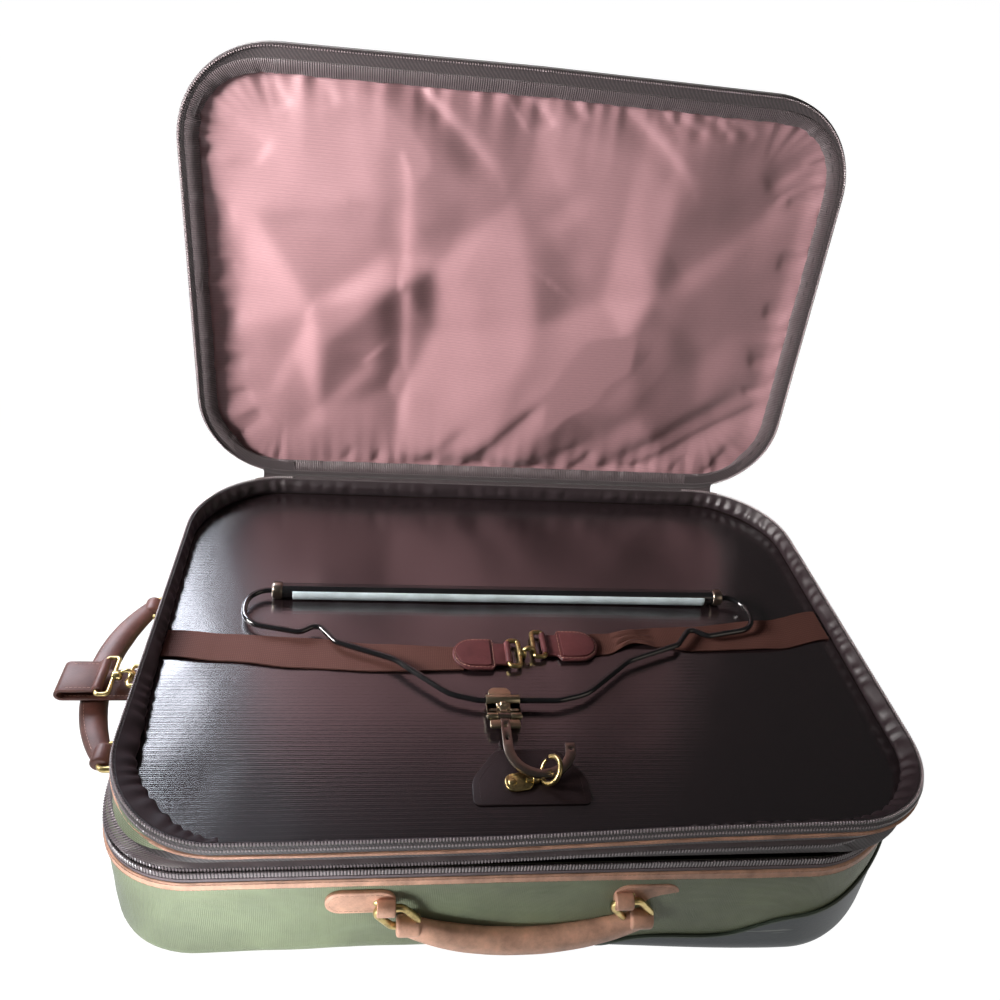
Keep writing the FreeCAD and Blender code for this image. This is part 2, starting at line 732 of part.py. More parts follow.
tabs, rings, grip = handle_pieces()
side_at = (HANDLE_X, -half_width - PIVOT_OUT, HANDLE_Z)
end_at = (-half_length - PIVOT_OUT, 0, END_HANDLE_Z)
to_end = ((V(0, 0, 1), -90),)
raised = ((V(1, 0, 0), -90), (V(0, 0, 1), -90))
nodes["handle_tabs"] = together([placed(tabs, (), side_at), placed(tabs, to_end, end_at)])
nodes["side_handle_rings"] = placed(rings, (), side_at)
nodes["side_handle_grip"] = placed(grip, (), side_at)
nodes["end_handle_rings"] = placed(rings, raised, end_at)
nodes["end_handle_grip"] = placed(grip, raised, end_at)

# Luggage strap
strap_out = -half_length - STRAP_REACH
upper_z = STRAP_Z + 2 * STRAP_BEND
eye_x = strap_out + STRAP_TURN
eye_z = upper_z + STRAP_THICK / 2 - LAY_GAP
strap_runs = [
    (V(-half_length, STRAP_Y, STRAP_Z), V(strap_out, STRAP_Y, STRAP_Z)),
    (V(strap_out, STRAP_Y, STRAP_Z), V(strap_out - STRAP_BEND, STRAP_Y, STRAP_Z + STRAP_BEND),
     V(strap_out, STRAP_Y, upper_z)),
    (V(strap_out, STRAP_Y, upper_z), V(eye_x, STRAP_Y, upper_z)),
]
strap = swept(strap_runs, (0, 1, 0), flat_section(STRAP_THICK, STRAP_WIDE))
h = STRAP_WIDE / 2
eye = flats((eye_x, STRAP_Y - h, eye_z), (eye_x, STRAP_Y + h, eye_z), SNAP_EYE)
hole_a = (eye_x, STRAP_Y - h - PAST, eye_z)
hole_b = (eye_x, STRAP_Y + h + PAST, eye_z)
eye_hole = flats(hole_a, hole_b, SNAP_WIRE + RING_CLEAR)
nodes["luggage_strap"] = strap.fuse(eye).cut(eye_hole).removeSplitter()


def arc_run(centre, radius, u, w, start, end):
    """Part of a circle in the plane of u and w, angles in degrees from u towards w."""
    points = []
    for a in (start, (start + end) / 2, end):
        c = math.cos(math.radians(a))
        s = math.sin(math.radians(a))
        points.append(centre + u * (radius * c) + w * (radius * s))
    return [tuple(points)]


def loop(x0, x1, y, half, z, bend, radius):
    """A flat four-sided wire loop lying level."""
    points = [(x0, y - half, z), (x1, y - half, z), (x1, y + half, z), (x0, y + half, z)]
    return wire(bent(points, [bend] * 4, True), (0, 0, 1), radius)


loop_end = eye_x + SNAP_LOOP_LONG
barrel_end = loop_end + SNAP_BARREL_LONG
snap_loop = loop(eye_x, loop_end, STRAP_Y, STRAP_WIDE / 2 + 2 * SNAP_WIRE, eye_z, SNAP_BEND, SNAP_WIRE)
barrel = flats((loop_end, STRAP_Y, eye_z), (barrel_end, STRAP_Y, eye_z), SNAP_BARREL)
hook_at = V(barrel_end + SNAP_HOOK_RADIUS - SNAP_WIRE, STRAP_Y, eye_z)
upright = (V(1, 0, 0), V(0, 0, 1))
hook = wire(arc_run(hook_at, SNAP_HOOK_RADIUS, *upright, 180, SNAP_MOUTH), (0, 1, 0), SNAP_WIRE)
nodes["luggage_snap"] = snap_loop.fuse(barrel).fuse(hook).removeSplitter()
gate_runs = arc_run(hook_at, SNAP_HOOK_RADIUS, *upright, SNAP_GATE_ROOT, SNAP_MOUTH - SNAP_GATE_GAP)
nodes["luggage_snap_gate"] = wire(gate_runs, (0, 1, 0), SNAP_GATE_WIRE)

dee_in = -half_length - SNAP_WIRE - RING_CLEAR
dee_out = hook_at.x + SNAP_HOOK_RADIUS - 2 * SNAP_WIRE - RING_CLEAR
dee_ring = loop(dee_out, dee_in, STRAP_Y, DEE_WIDE / 2, eye_z, SNAP_BEND, SNAP_WIRE)
dee_half = SNAP_WIRE + RING_CLEAR + DEE_CHAPE
chape = box(
    dee_in - dee_half, -half_length, STRAP_Y - DEE_CHAPE_HALF, STRAP_Y + DEE_CHAPE_HALF, eye_z - dee_half,
    eye_z + dee_half,
)
hole_a = (dee_in, STRAP_Y - DEE_WIDE, eye_z)
hole_b = (dee_in, STRAP_Y + DEE_WIDE, eye_z)
dee_hole = flats(hole_a, hole_b, SNAP_WIRE + RING_CLEAR)
nodes["strap_dee"] = together([dee_ring, chape.cut(dee_hole)])

# Tray
nodes["tray_wall"] = ring(0, TRAY_WALL, tray_low, tray_rim)
tray_welt_top = tray_rim - TRAY_WELT_DROP
nodes["tray_welt"] = tape_ring(WELT_OUT, tray_welt_top - TRAY_WELT_HEIGHT, tray_welt_top)
nodes["tray_zip_tape"] = tape_ring(TAPE_OUT, tray_low, tray_low + TRAY_TAPE_HEIGHT)
nodes["tray_zip_teeth"] = together([
    zip_row(CASE_WALL / 2, tray_low - TEETH_HALF), zip_row(TRAY_WALL / 2, tray_rim + TEETH_HALF),
])
nodes["lid_hinge"] = hinge_piping(lid_parting, tray_rim - TRAY_TAPE_HEIGHT)
nodes["divider_panel"] = slab(DIVIDER_INSET, divider_low, divider_top)


def skirt(top_inset, foot_inset, low, high):
    return Part.makeLoft([plan(foot_inset, low), plan(top_inset, high)], True, True)


lay = divider_top + LAY_GAP
gusset = skirt(DIVIDER_INSET, GUSSET_FOOT, lay, tray_rim)
inside = skirt(DIVIDER_INSET + GUSSET_THICK, GUSSET_FOOT + GUSSET_THICK, lay, tray_rim)
nodes["tray_gusset_lining"] = gusset.cut(inside)

# Straps, tabs, clasp and patch on the divider


def strip(ends, wide, thick, low):
    """A flat strip from one point to another, seen from above."""
    (ax, ay), (bx, by) = ends
    long = math.hypot(bx - ax, by - ay)
    piece = Part.makeBox(long, wide, thick, V(0, -wide / 2, low))
    piece.rotate(V(0, 0, 0), V(0, 0, 1), math.degrees(math.atan2(by - ay, bx - ax)))
    piece.translate(V(ax, ay, 0))
    return piece


nodes["elastic_straps"] = together([
    strip(LEFT_STRAP, WEBBING_WIDE, WEBBING_THICK, lay), strip(RIGHT_STRAP, WEBBING_WIDE, WEBBING_THICK, lay),
])

tab_low = lay + WEBBING_THICK + LAY_GAP
tab_eye = CLASP_WIRE + RING_CLEAR + TAB_EYE_WALL
clasp_z = tab_low + tab_eye
strap_tabs = []
clasp_ends = []
for (x, y), side in ((LEFT_STRAP[1], 1), (RIGHT_STRAP[0], -1)):
    plate = stadium(TAB_PLATE_LONG, TAB_PLATE_WIDE, TAB_PLATE_THICK, (0, 0, tab_low))
    end_x = x + side * (TAB_PLATE_LONG - TAB_LAP)
    plate.translate(V(end_x - side * TAB_PLATE_LONG / 2, y, 0))
    a = (end_x, y - TAB_EYE_HALF, clasp_z)
    b = (end_x, y + TAB_EYE_HALF, clasp_z)
    eye = flats(a, b, tab_eye)
    hole = flats(a, b, CLASP_WIRE + RING_CLEAR)
    strap_tabs.append(plate.fuse(eye).cut(hole).removeSplitter())
    clasp_ends.append((end_x, y))
nodes["strap_tabs"] = together(strap_tabs)

(lx, ly), (rx, ry) = clasp_ends
left_end = lx + CLASP_LOOP
barrel_end = left_end + CLASP_BARREL_LONG
left_loop = loop(lx, left_end, ly, CLASP_WIDE / 2, clasp_z, CLASP_BEND, CLASP_WIRE)
right_loop = loop(rx - CLASP_LOOP, rx, ry, CLASP_WIDE / 2, clasp_z, CLASP_BEND, CLASP_WIRE)
clasp_barrel = flats((left_end, ly, clasp_z), (barrel_end, ly, clasp_z), CLASP_BARREL)
clasp_hook_at = V(barrel_end + CLASP_HOOK - CLASP_WIRE, ly, clasp_z + CLASP_LIFT)
clasp_runs = arc_run(clasp_hook_at, CLASP_HOOK, *upright, CLASP_ROOT, CLASP_MOUTH)
clasp_hook = wire(clasp_runs, (0, 1, 0), CLASP_WIRE)
nodes["strap_clasp"] = together([left_loop.fuse(clasp_barrel).fuse(clasp_hook).removeSplitter(), right_loop])

px = PATCH_WIDE / 2
tx = PATCH_TOP / 2
shoulder = patch_y + PATCH_SIDE
patch_points = [
    (PATCH_X - px, patch_y, lay), (PATCH_X + px, patch_y, lay), (PATCH_X + px, shoulder, lay),
    (PATCH_X + tx, patch_y + PATCH_HIGH, lay), (PATCH_X - tx, patch_y + PATCH_HIGH, lay),
    (PATCH_X - px, shoulder, lay),
]
patch_bends = [PATCH_FOOT_ROUND] * 2 + [PATCH_ROUND] * 4
nodes["hanger_patch"] = outline(bent(patch_points, patch_bends, True)).extrude(V(0, 0, PATCH_THICK))

# Hanger
bar_z = lay + FERRULE_RADIUS
bar_a = (HANGER_X - BAR_HALF, bar_y, bar_z)
bar_b = (HANGER_X + BAR_HALF, bar_y, bar_z)
nodes["trouser_bar"] = rod(bar_a, bar_b, BAR_RADIUS).cut(rod(bar_a, bar_b, BAR_RADIUS - BAR_WALL))
strip_box = box(
    HANGER_X - strip_half, HANGER_X + strip_half, bar_y - GRIP_STRIP_WIDE / 2,
    bar_y + GRIP_STRIP_WIDE / 2, bar_z, bar_z + 2 * BAR_RADIUS,
)
strip_a = (HANGER_X - strip_half, bar_y, bar_z)
strip_b = (HANGER_X + strip_half, bar_y, bar_z)
strip_round = rod(strip_a, strip_b, BAR_RADIUS + GRIP_STRIP_THICK)
grip_strip = strip_round.cut(rod(strip_a, strip_b, BAR_RADIUS)).common(strip_box)
grip_strip.rotate(V(0, bar_y, bar_z), V(1, 0, 0), GRIP_STRIP_TURN)
nodes["trouser_grip_strip"] = grip_strip

half = [(HANGER_X + x, bar_y + y, r) for x, y, r in HANGER_POINTS]
other = [(HANGER_X - x, bar_y + y, r) for x, y, r in HANGER_POINTS]
wire_end = BAR_HALF - WIRE_SOCKET
run = [(HANGER_X + wire_end, bar_y, 0)] + half + other[::-1] + [(HANGER_X - wire_end, bar_y, 0)]
wire_runs = bent([(x, y, bar_z) for x, y, r in run], [r for x, y, r in run])
nodes["hanger_wire"] = wire(wire_runs, (0, 0, 1), WIRE_RADIUS)

ferrules = []
for side in (-1, 1):
    a = (HANGER_X + side * (BAR_HALF - FERRULE_LAP), bar_y, bar_z)
    stop = (HANGER_X + side * BAR_HALF, bar_y, bar_z)
    b = (HANGER_X + side * (BAR_HALF - FERRULE_LAP + FERRULE_LONG), bar_y, bar_z)
    cap = flats(a, b, FERRULE_RADIUS, FERRULE_SIDES).cut(rod(a, stop, BAR_RADIUS + CLAMP_CLEAR))
    ferrules.append(cap.cut(flats(a, b, WIRE_RADIUS + CLAMP_CLEAR)))
nodes["bar_ferrules"] = together(ferrules)

clamp_y = bar_y + HANGER_POINTS[-1][1]
pin_y = clamp_y - CLAMP_REACH
x0 = CLAMP_X - CLAMP_LONG / 2
x1 = CLAMP_X + CLAMP_LONG / 2
plate_low = bar_z - CLAMP_PLATE / 2
clamp = flats((x0, clamp_y, bar_z), (x1, clamp_y, bar_z), CLAMP_ROLL)
leaf = box(x0, x1, pin_y + KNUCKLE_RADIUS + KNUCKLE_GAP, clamp_y, plate_low, plate_low + CLAMP_PLATE)
clamp = clamp.fuse(leaf)
for side in (-1, 1):
    a = CLAMP_X + side * (KNUCKLE_LONG / 2 + KNUCKLE_GAP)
    b = CLAMP_X + side * CLAMP_LONG / 2
    clamp = clamp.fuse(flats((a, pin_y, bar_z), (b, pin_y, bar_z), KNUCKLE_RADIUS))
    clamp = clamp.fuse(box(min(a, b), max(a, b), pin_y, clamp_y, plate_low, plate_low + CLAMP_PLATE))
clamp = clamp.cut(flats((x0, clamp_y, bar_z), (x1, clamp_y, bar_z), WIRE_RADIUS + CLAMP_CLEAR))
pin_a = (x0, pin_y, bar_z)
pin_b = (x1, pin_y, bar_z)
nodes["hanger_clamp"] = clamp.fuse(rod(pin_a, pin_b, PIN_RADIUS)).removeSplitter()

shank_end = pin_y - HOOK_SHANK
hook_root = pin_y - KNUCKLE_RADIUS / 2
hook_runs = [
    (V(CLAMP_X, hook_root, bar_z), V(CLAMP_X, shank_end, bar_z)),
    (V(CLAMP_X, shank_end, bar_z), V(CLAMP_X + HOOK_BEND, shank_end - HOOK_BEND, bar_z),
     V(CLAMP_X + 2 * HOOK_BEND, shank_end, bar_z)),
    (V(CLAMP_X + 2 * HOOK_BEND, shank_end, bar_z), V(CLAMP_X + 2 * HOOK_BEND, shank_end + HOOK_TIP, bar_z)),
]
flat_hook = swept(hook_runs, (0, 0, 1), flat_section(HOOK_WIDE, HOOK_THICK))
knuckle_half = KNUCKLE_LONG / 2
knuckle_a = (CLAMP_X - knuckle_half, pin_y, bar_z)
knuckle_b = (CLAMP_X + knuckle_half, pin_y, bar_z)
flat_hook = flat_hook.fuse(flats(knuckle_a, knuckle_b, KNUCKLE_RADIUS))
leaf_end = pin_y - KNUCKLE_RADIUS - HOOK_LEAF_GAP
leaf_x = HOOK_LEAF_WIDE / 2
hook_leaf = box(
    CLAMP_X - leaf_x, CLAMP_X + leaf_x, leaf_end - HOOK_LEAF_LONG, leaf_end, plate_low,
    plate_low + CLAMP_PLATE,
)
flat_hook = flat_hook.fuse(hook_leaf)
nodes["hanger_hook"] = flat_hook.cut(rod(pin_a, pin_b, PIN_RADIUS + CLAMP_CLEAR)).removeSplitter()

# Snap that holds the hook on the patch
heading = V(math.cos(math.radians(PATCH_SNAP_HEADING)), math.sin(math.radians(PATCH_SNAP_HEADING)), 0)
tilt = math.radians(PATCH_SNAP_TILT)
ring_u = heading * math.cos(tilt) + V(0, 0, math.sin(tilt))
ring_w = V(-heading.y, heading.x, 0)
ring_n = ring_u.cross(ring_w)
crossing = math.radians(PATCH_SNAP_AT)
hook_mid = V(CLAMP_X + HOOK_BEND, shank_end, bar_z)
on_hook = hook_mid + V(math.cos(crossing), math.sin(crossing), 0) * HOOK_BEND
ring_low = lay + PATCH_THICK + PATCH_SNAP_LIE + PATCH_SNAP_WIRE
rise = ring_low + PATCH_SNAP_RADIUS * math.sin(tilt) - bar_z
ring_at = on_hook + heading * (rise / math.tan(tilt)) + V(0, 0, rise)
ring_runs = arc_run(ring_at, PATCH_SNAP_RADIUS, ring_u, ring_w, -180, PATCH_SNAP_MOUTH)
body = wire(ring_runs, ring_n, PATCH_SNAP_WIRE)
neck_a = ring_at - ring_u * PATCH_SNAP_RADIUS
neck_b = neck_a - heading * PATCH_NECK_LONG
base = stadium(PATCH_PLATE_LONG, PATCH_PLATE_WIDE, PATCH_PLATE_THICK, (0, 0, 0))
base.rotate(V(0, 0, 0), V(0, 0, 1), PATCH_SNAP_HEADING)
base_at = neck_b - heading * (PATCH_PLATE_LONG / 4)
base.translate(V(base_at.x, base_at.y, lay + PATCH_THICK + LAY_GAP))
nodes["patch_snap"] = body.fuse(flats(neck_a, neck_b, PATCH_NECK)).fuse(base).removeSplitter()
gate_runs = arc_run(
    ring_at, PATCH_SNAP_RADIUS, ring_u, ring_w, PATCH_SNAP_MOUTH + PATCH_GATE_GAP, PATCH_GATE_ROOT
)
nodes["patch_snap_gate"] = wire(gate_runs, ring_n, PATCH_GATE_WIRE)

# Lid, drawn closed over the tray and then stood up
lid = {}
lid_top = lid_parting + LID_DEPTH
lid_wires = [plan(0, lid_low)]
for i in range(LID_STEPS + 1):
    a = math.pi / 2 * i / LID_STEPS
    lid_wires.append(plan(LID_EDGE * (1 - math.cos(a)), lid_top - LID_EDGE * (1 - math.sin(a))))
panel = Part.makeLoft(lid_wires, True, True)
binding_low = lid_parting + BINDING_LOW
lining_low = binding_low + BINDING_THICK + LID_PIECE_GAP
lining_high = lid_top - LID_SKIN - LID_PIECE_GAP
lid["lid_panel"] = panel.cut(slab(LID_WALL, lid_low - PAST, lid_top - LID_SKIN))
lid["lid_zip_tape"] = tape_ring(TAPE_OUT, lid_low, lid_low + LID_TAPE_HEIGHT)
lid["lid_zip_teeth"] = zip_row(TRAY_WALL / 2, lid_low - TEETH_HALF)
lid["lid_binding"] = ring(LID_WALL + LID_PIECE_GAP, BINDING_FOOT, binding_low, binding_low + BINDING_THICK)
lid["lid_lining"] = slab(LID_WALL + LID_PIECE_GAP, lining_low, lining_high)
for name, shape in lid.items():
    shape.rotate(V(0, hinge_y, lid_parting), V(1, 0, 0), -90)
    nodes[name] = shape

# Zip sliders and pulls


def slider_pair():
    """A slider and its hanging pull, on a wall at y = 0 with the zip along X at z = 0."""
    half_long = SLIDER_LONG / 2
    half_high = SLIDER_HIGH / 2
    half_pull = PULL_WIDE / 2
    body = box(-half_long, half_long, -SLIDER_DEEP, 0, -half_high, half_high)
    knuckle = PULL_PIN + PULL_CLEAR + PULL_WALL
    pin_y = -SLIDER_DEEP - knuckle - PULL_SIDE
    for side in (-1, 1):
        near = side * (half_pull + PULL_SIDE)
        far = side * half_long
        ear = box(min(near, far), max(near, far), pin_y - PULL_PIN, -SLIDER_DEEP, -PULL_PIN, PULL_PIN)
        body = body.fuse(ear)
    body = body.fuse(flats((-half_long, pin_y, 0), (half_long, pin_y, 0), PULL_PIN)).removeSplitter()
    tab = box(-half_pull, half_pull, pin_y - PULL_THICK / 2, pin_y + PULL_THICK / 2, -PULL_LONG, 0)
    tab = tab.fuse(flats((-half_pull, pin_y, 0), (half_pull, pin_y, 0), knuckle))
    tab = tab.cut(flats((-half_pull, pin_y, 0), (half_pull, pin_y, 0), PULL_PIN + PULL_CLEAR))
    return body, tab.removeSplitter()


slider, pull = slider_pair()
corner_x = half_length - CASE_CORNER
corner_y = half_width - CASE_CORNER
slider_seat = CASE_CORNER + WELT_OUT + LAY_GAP
lid_sliders = []
for side, name in ((-1, "left"), (1, "right")):
    lean = math.radians(SLIDER_LEAN)
    at = (
        side * (corner_x + slider_seat * math.sin(lean)), corner_y + slider_seat * math.cos(lean),
        tray_rim - SLIDER_HIGH / 2,
    )
    turn = ((V(0, 0, 1), 180 - side * SLIDER_LEAN),)
    lid_sliders.append(placed(slider, turn, at))
    nodes["lid_pull_" + name] = placed(pull, turn, at)
nodes["lid_sliders"] = together(lid_sliders)

for side, name in ((-1, "front"), (1, "rear")):
    at = (half_length + TAPE_OUT + LAY_GAP, side * SLIDER_MAIN_Y, main_parting)
    turn = ((V(0, 0, 1), 90),)
    nodes["main_slider_" + name] = placed(slider, turn, at)
    nodes["main_pull_" + name] = placed(pull, turn, at)

os.makedirs("parts", exist_ok=True)
for name, shape in nodes.items():
    shape.exportStep("parts/" + name + ".step")
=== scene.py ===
import json
from math import asin, atan2, ceil, copysign, cos, degrees, exp, hypot, pi, radians, sin, sqrt, tan

import bmesh
import bpy
from mathutils import Matrix, Vector, noise
from mathutils.bvhtree import BVHTree
from mathutils.geometry import delaunay_2d_cdt


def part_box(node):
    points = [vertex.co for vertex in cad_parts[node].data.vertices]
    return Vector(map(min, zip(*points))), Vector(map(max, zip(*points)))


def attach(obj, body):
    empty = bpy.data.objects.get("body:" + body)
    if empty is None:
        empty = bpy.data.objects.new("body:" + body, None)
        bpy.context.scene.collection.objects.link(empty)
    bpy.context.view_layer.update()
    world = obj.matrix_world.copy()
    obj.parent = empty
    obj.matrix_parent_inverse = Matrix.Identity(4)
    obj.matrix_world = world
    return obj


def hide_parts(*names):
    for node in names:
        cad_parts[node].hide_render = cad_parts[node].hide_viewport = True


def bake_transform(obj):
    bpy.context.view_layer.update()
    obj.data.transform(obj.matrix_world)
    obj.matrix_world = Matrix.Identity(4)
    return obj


# A rolling garment bag lying on its back with its lid standing open. Metres, +Z up, in the frame
# of the CAD model: X runs from the handle end to the wheel end, and Y from the side with the carry
# handle to the hinge side.

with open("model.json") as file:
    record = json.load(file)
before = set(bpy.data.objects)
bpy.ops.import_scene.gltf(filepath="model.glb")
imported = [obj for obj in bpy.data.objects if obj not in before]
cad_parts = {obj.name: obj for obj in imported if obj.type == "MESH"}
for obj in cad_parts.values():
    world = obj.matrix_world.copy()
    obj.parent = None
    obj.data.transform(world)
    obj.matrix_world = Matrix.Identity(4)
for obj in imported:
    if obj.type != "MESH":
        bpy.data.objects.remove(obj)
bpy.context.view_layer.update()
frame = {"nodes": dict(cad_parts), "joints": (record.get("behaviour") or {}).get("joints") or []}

bl_info = {
    "name": "Rolling Garment Bag",
    "version": (1, 0, 0),
    "blender": (4, 5, 0),
    "location": "View3D > Sidebar > Garment Bag",
    "description": "Dresses a rolling garment bag in canvas, leather, zips, satin and brass",
    "category": "Object",
}

MM = 0.001
WELD = 0.00001               # points nearer than this are merged


def mm(x, y, z):
    return Vector((x, y, z)) * MM


# Sizes and levels read from the frame
joint_at = {joint["name"]: Vector(joint["pos_m"]) for joint in frame["joints"] if "pos_m" in joint}
HALF_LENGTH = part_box("case_shell")[1].x
HALF_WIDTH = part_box("case_shell")[1].y
CASE_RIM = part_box("case_shell")[1].z
WELT_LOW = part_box("case_welt")[0].z
WELT_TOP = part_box("case_welt")[1].z
TRAY_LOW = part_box("tray_wall")[0].z
TRAY_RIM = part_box("tray_wall")[1].z
TRAY_WELT_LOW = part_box("tray_welt")[0].z
TRAY_WELT_FOOT = TRAY_WELT_LOW - 3.2 * MM
DIVIDER_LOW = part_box("divider_panel")[0].z
DIVIDER_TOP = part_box("divider_panel")[1].z
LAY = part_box("elastic_straps")[0].z
MAIN_PARTING = joint_at["tray_hinge"].z
LID_PARTING = joint_at["lid_hinge"].z
HINGE_Y = joint_at["lid_hinge"].y
HINGE_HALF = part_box("lid_hinge")[1].x
LID_TOP = LID_PARTING + 24 * MM

CORNER = 78 * MM             # radius of the upright corners
STRAIGHT_X = HALF_LENGTH - CORNER
STRAIGHT_Y = HALF_WIDTH - CORNER
EDGE = 20 * MM               # radius round the bottom edge
STEP = 6 * MM                # length of a step round the outline
CORNER_STEPS = 20
LID_UP = (
    Matrix.Translation((0, HINGE_Y, LID_PARTING)) @ Matrix.Rotation(-pi / 2, 4, "X")
    @ Matrix.Translation((0, -HINGE_Y, -LID_PARTING))
)


def linear(hex_colour):
    """An sRGB hex colour as linear red, green and blue."""
    parts = []
    for i in (1, 3, 5):
        part = int(hex_colour[i:i + 2], 16) / 255
        parts.append(part / 12.92 if part <= 0.04045 else ((part + 0.055) / 1.055) ** 2.4)
    return tuple(parts)


def length(name, description, default):
    return bpy.props.FloatProperty(name=name, description=description, default=default, unit="LENGTH")


def colour(name, description, hex_colour):
    return bpy.props.FloatVectorProperty(
        name=name, description=description, default=linear(hex_colour), size=3, min=0, max=1, subtype="COLOR"
    )


class BagSizes(bpy.types.PropertyGroup):
    tooth_pitch: length("Tooth pitch", "Distance between the teeth of a zip", 2.1 * MM)
    stitch_pitch: length("Stitch pitch", "Distance between the stitches in leather", 3.2 * MM)
    stitch_long: length("Stitch length", "Thread that shows in each stitch", 2.2 * MM)
    thread: length("Thread", "Diameter of the sewing thread", 0.55 * MM)
    belly: length("Belly", "How far the canvas walls stand out between their edges", 1.2 * MM)
    gather: length("Gather", "Depth of the gathers in the satin gusset", 1.6 * MM)
    slump: length("Slump", "How far the soft front of the case leans to the handle end", 18.0 * MM)
    sag: length("Sag", "How far the front rim of the case sinks", 8.0 * MM)
    kick: length("Kick", "How far the foot of the front stands out at the wheel end", 10.0 * MM)
    rack: length("Rack", "How far the open lid leans in at its wheel end", 12.0 * MM)


class BagColours(bpy.types.PropertyGroup):
    canvas: colour("Canvas", "Olive nylon canvas of the case", "#76805F")
    leather: colour("Leather", "Tan leather of the welts and handles", "#D6A58C")
    oxblood: colour("Oxblood", "Leather tabs on the straps", "#532D2E")
    satin: colour("Satin", "Mauve ribbed satin in the lid", "#8C6A6E")
    nylon: colour("Nylon", "Brown ribbed nylon on the divider", "#1A1214")
    brown: colour("Brown", "Brown satin of the gusset and the case lining", "#241B1E")
    tape: colour("Tape", "Twill of the zip tapes", "#2E2527")
    brass: colour("Brass", "Antique brass hardware", "#B9A571")
    guard: colour("Guard", "Slate vinyl of the corner guard", "#343C40")


# Modelling helpers


def smooth(part):
    """Eases a share from 0 to 1."""
    part = min(max(part, 0), 1)
    return part * part * (3 - 2 * part)


def between(points, x, ease=False):
    """The value at x on runs through points (x, value), straight or eased, level beyond their ends."""
    if x <= points[0][0]:
        return points[0][1]
    for (xa, a), (xb, b) in zip(points, points[1:]):
        if x <= xb:
            part = (x - xa) / (xb - xa)
            return a + (b - a) * (smooth(part) if ease else part)
    return points[-1][1]


def named(name):
    """The active piece, with its name given to its mesh too."""
    piece = bpy.context.object
    piece.name = name
    piece.data.name = name
    return piece


def begin(name, add, **place):
    """Adds a primitive with nothing else selected."""
    bpy.ops.object.select_all(action="DESELECT")
    add(**place)
    return named(name)


def only(piece):
    """Leaves one piece selected and active."""
    bpy.ops.object.select_all(action="DESELECT")
    piece.select_set(True)
    bpy.context.view_layer.objects.active = piece


def settle(piece, size=None):
    """Writes a piece's place, turn and size into its mesh."""
    if size is not None:
        piece.scale = size
    only(piece)
    bpy.ops.object.transform_apply(location=True, rotation=True, scale=True)


def edit(piece):
    bpy.context.view_layer.objects.active = piece
    bpy.ops.object.mode_set(mode="EDIT")
    bpy.ops.mesh.select_mode(type="VERT")
    bpy.ops.mesh.select_all(action="SELECT")


def extrude(way):
    bpy.ops.mesh.extrude_region_move(TRANSFORM_OT_translate={"value": way})


def leave():
    bpy.ops.object.mode_set(mode="OBJECT")


def pick(piece, kind, test):
    """Selects the vertices, edges or faces that pass a test, in edit mode."""
    bpy.ops.mesh.select_mode(type=kind)
    bpy.ops.mesh.select_all(action="DESELECT")
    mesh = bmesh.from_edit_mesh(piece.data)
    for item in {"VERT": mesh.verts, "EDGE": mesh.edges, "FACE": mesh.faces}[kind]:
        if test(item):
            item.select = True
    mesh.select_flush_mode()
    bmesh.update_edit_mesh(piece.data)


def face_out():
    """Turns the faces outwards; ends in object mode."""
    bpy.ops.mesh.select_all(action="SELECT")
    bpy.ops.mesh.normals_make_consistent(inside=False)
    leave()


def close_up():
    """Merges doubles, fills open ends and turns the faces outwards; ends in object mode."""
    bpy.ops.mesh.select_all(action="SELECT")
    bpy.ops.mesh.remove_doubles(threshold=WELD)
    bpy.ops.mesh.fill_holes(sides=0)
    face_out()


def modify(piece, kind, **settings):
    """Adds a modifier and applies it."""
    only(piece)
    bpy.ops.object.modifier_add(type=kind)
    modifier = piece.modifiers[-1]
    for key, value in settings.items():
        setattr(modifier, key, value)
    bpy.ops.object.modifier_apply(modifier=modifier.name)


def thicken(piece, thick, offset=-1):
    modify(piece, "SOLIDIFY", thickness=thick, offset=offset)


def ease(piece, width, steps, angle=30):
    """Rounds the edges of a piece that turn by more than an angle in degrees."""
    modify(
        piece, "BEVEL", width=width, segments=steps, limit_method="ANGLE", angle_limit=radians(angle),
    )


def shape(piece, move):
    """Moves each vertex to the place that a function gives."""
    for vertex in piece.data.vertices:
        vertex.co = move(vertex.co.copy())
    piece.data.update()


def carry(piece, place):
    piece.data.transform(Matrix.Translation(place))


def cut(piece, *cutters):
    for cutter in cutters:
        modify(piece, "BOOLEAN", operation="DIFFERENCE", solver="EXACT", object=cutter)
    for cutter in cutters:
        bpy.data.objects.remove(cutter)


def block(name, low, high):
    """A box between two corners, as a cutter or a start."""
    piece = begin(name, bpy.ops.mesh.primitive_cube_add, size=1, location=(Vector(low) + Vector(high)) / 2)
    settle(piece, Vector(high) - Vector(low))
    return piece


def rod(name, sides, radius, long, place, turn=(0, 0, 0)):
    """A round bar with flat ends, upright unless turned."""
    return begin(
        name, bpy.ops.mesh.primitive_cylinder_add, vertices=sides, radius=radius, depth=long, location=place,
        rotation=turn,
    )


def copied(piece, name):
    """A copy with its own mesh."""
    only(piece)
    bpy.ops.object.duplicate(linked=False)
    return named(name)


def joined(name, pieces):
    bpy.ops.object.select_all(action="DESELECT")
    for piece in pieces:
        piece.select_set(True)
    bpy.context.view_layer.objects.active = pieces[0]
    bpy.ops.object.join()
    return named(name)


def dress(piece, body, finish_name, slot, *nodes, smooth=40):
    """Gives a piece its finish and its body, and hides the CAD nodes that it stands for."""
    piece.data.materials.clear()
    piece.data.materials.append(finish(finish_name))
    only(piece)
    bpy.ops.object.shade_smooth_by_angle(angle=radians(smooth), keep_sharp_edges=False)
    if body:
        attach(piece, body)
    if nodes:
        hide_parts(*nodes)
    return piece


